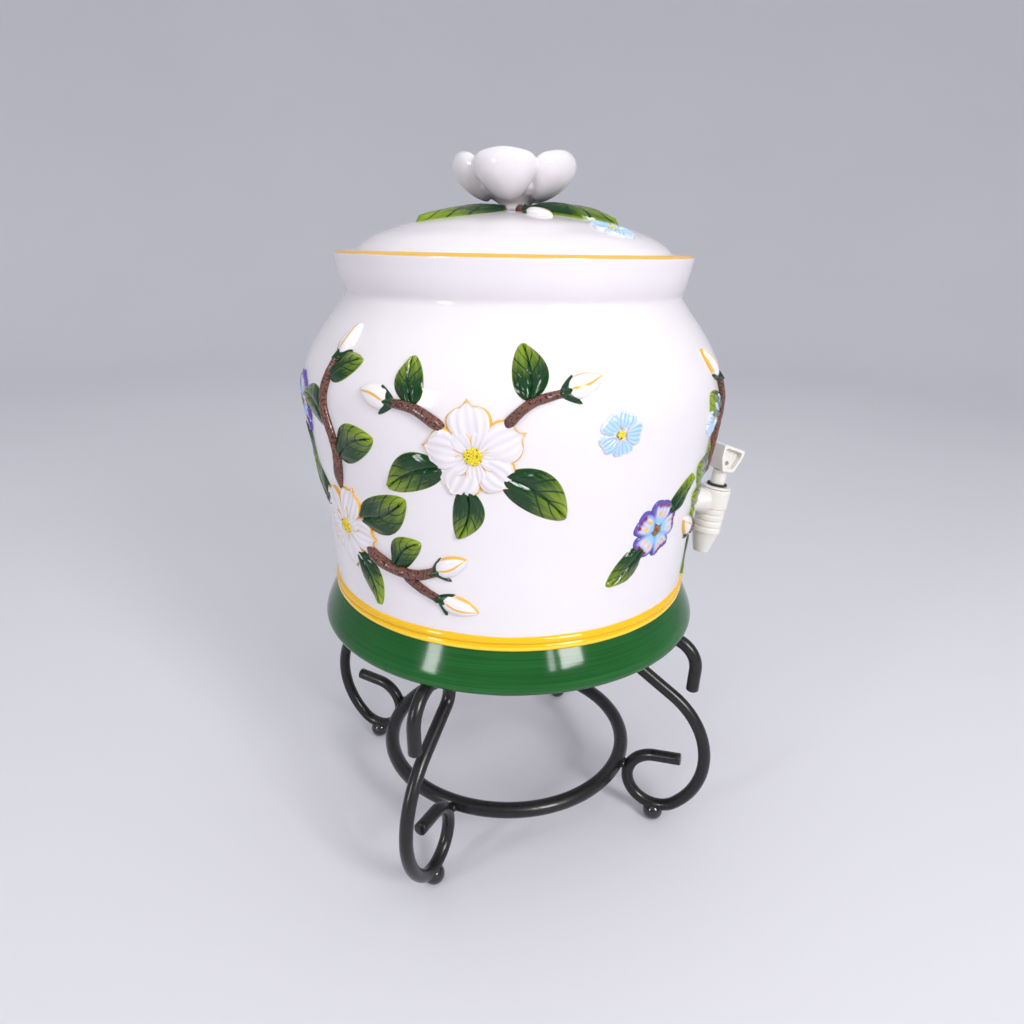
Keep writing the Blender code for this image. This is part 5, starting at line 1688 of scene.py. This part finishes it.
class POT_OT_white_blossoms(bpy.types.Operator):
    """Mould the white blossoms on the wall"""
    bl_idname = "pot.white_blossoms"
    bl_label = "White blossoms"

    def execute(self, context):
        build_white_blossoms(context.scene.pot_glaze, context.scene.pot_relief)
        return {"FINISHED"}


class POT_OT_small_blossoms(bpy.types.Operator):
    """Mould the violet and the blue blossoms"""
    bl_idname = "pot.small_blossoms"
    bl_label = "Violet and blue blossoms"

    def execute(self, context):
        build_small_blossoms(context.scene.pot_glaze, context.scene.pot_relief)
        return {"FINISHED"}


class POT_OT_leaves(bpy.types.Operator):
    """Mould the leaves, twigs and buds on the wall and the lid"""
    bl_idname = "pot.leaves"
    bl_label = "Leaves and twigs"

    def execute(self, context):
        build_leaves_and_twigs(context.scene.pot_glaze, context.scene.pot_relief)
        return {"FINISHED"}


class POT_OT_stand(bpy.types.Operator):
    """Bend the stand's rods and set its ball feet"""
    bl_idname = "pot.stand"
    bl_label = "Stand"

    def execute(self, context):
        build_stand(context.scene.pot_stand)
        return {"FINISHED"}


class POT_OT_tap(bpy.types.Operator):
    """Mould the tap and finish its small parts"""
    bl_idname = "pot.tap"
    bl_label = "Tap"

    def execute(self, context):
        build_tap(context.scene.pot_tap)
        return {"FINISHED"}


class POT_OT_studio(bpy.types.Operator):
    """Set up the floor, the lights and the camera"""
    bl_idname = "pot.studio"
    bl_label = "Studio"

    def execute(self, context):
        build_studio(context.scene.pot_studio)
        return {"FINISHED"}


class POT_PT_panel(bpy.types.Panel):
    """Lists the steps that dress the pot"""
    bl_idname = "POT_PT_panel"
    bl_label = "Water pot"
    bl_space_type = "VIEW_3D"
    bl_region_type = "UI"
    bl_category = "Water Pot"

    def draw(self, context):
        for step in STEPS:
            self.layout.operator(step.bl_idname)
        for group in GROUPS:
            box = self.layout.box()
            for prop in getattr(context.scene, group).bl_rna.properties:
                if prop.identifier not in ("rna_type", "name"):
                    box.prop(getattr(context.scene, group), prop.identifier)


GROUPS = {"pot_glaze": GlazeColours, "pot_relief": ReliefSizes, "pot_stand": StandColours,
          "pot_tap": TapColours, "pot_studio": StudioLook}
STEPS = (POT_OT_crock, POT_OT_lid, POT_OT_white_blossoms, POT_OT_small_blossoms,
         POT_OT_leaves, POT_OT_stand, POT_OT_tap, POT_OT_studio)


def register():
    for made in (*GROUPS.values(), *STEPS, POT_PT_panel):
        bpy.utils.register_class(made)
    for name, group in GROUPS.items():
        setattr(bpy.types.Scene, name, bpy.props.PointerProperty(type=group))


def unregister():
    for name in GROUPS:
        delattr(bpy.types.Scene, name)
    for made in (POT_PT_panel, *reversed(STEPS), *GROUPS.values()):
        bpy.utils.unregister_class(made)


def main():
    register()
    bpy.ops.pot.crock()
    bpy.ops.pot.lid()
    bpy.ops.pot.white_blossoms()
    bpy.ops.pot.small_blossoms()
    bpy.ops.pot.leaves()
    bpy.ops.pot.stand()
    bpy.ops.pot.tap()
    bpy.ops.pot.studio()


if __name__ == "__main__":
    main()
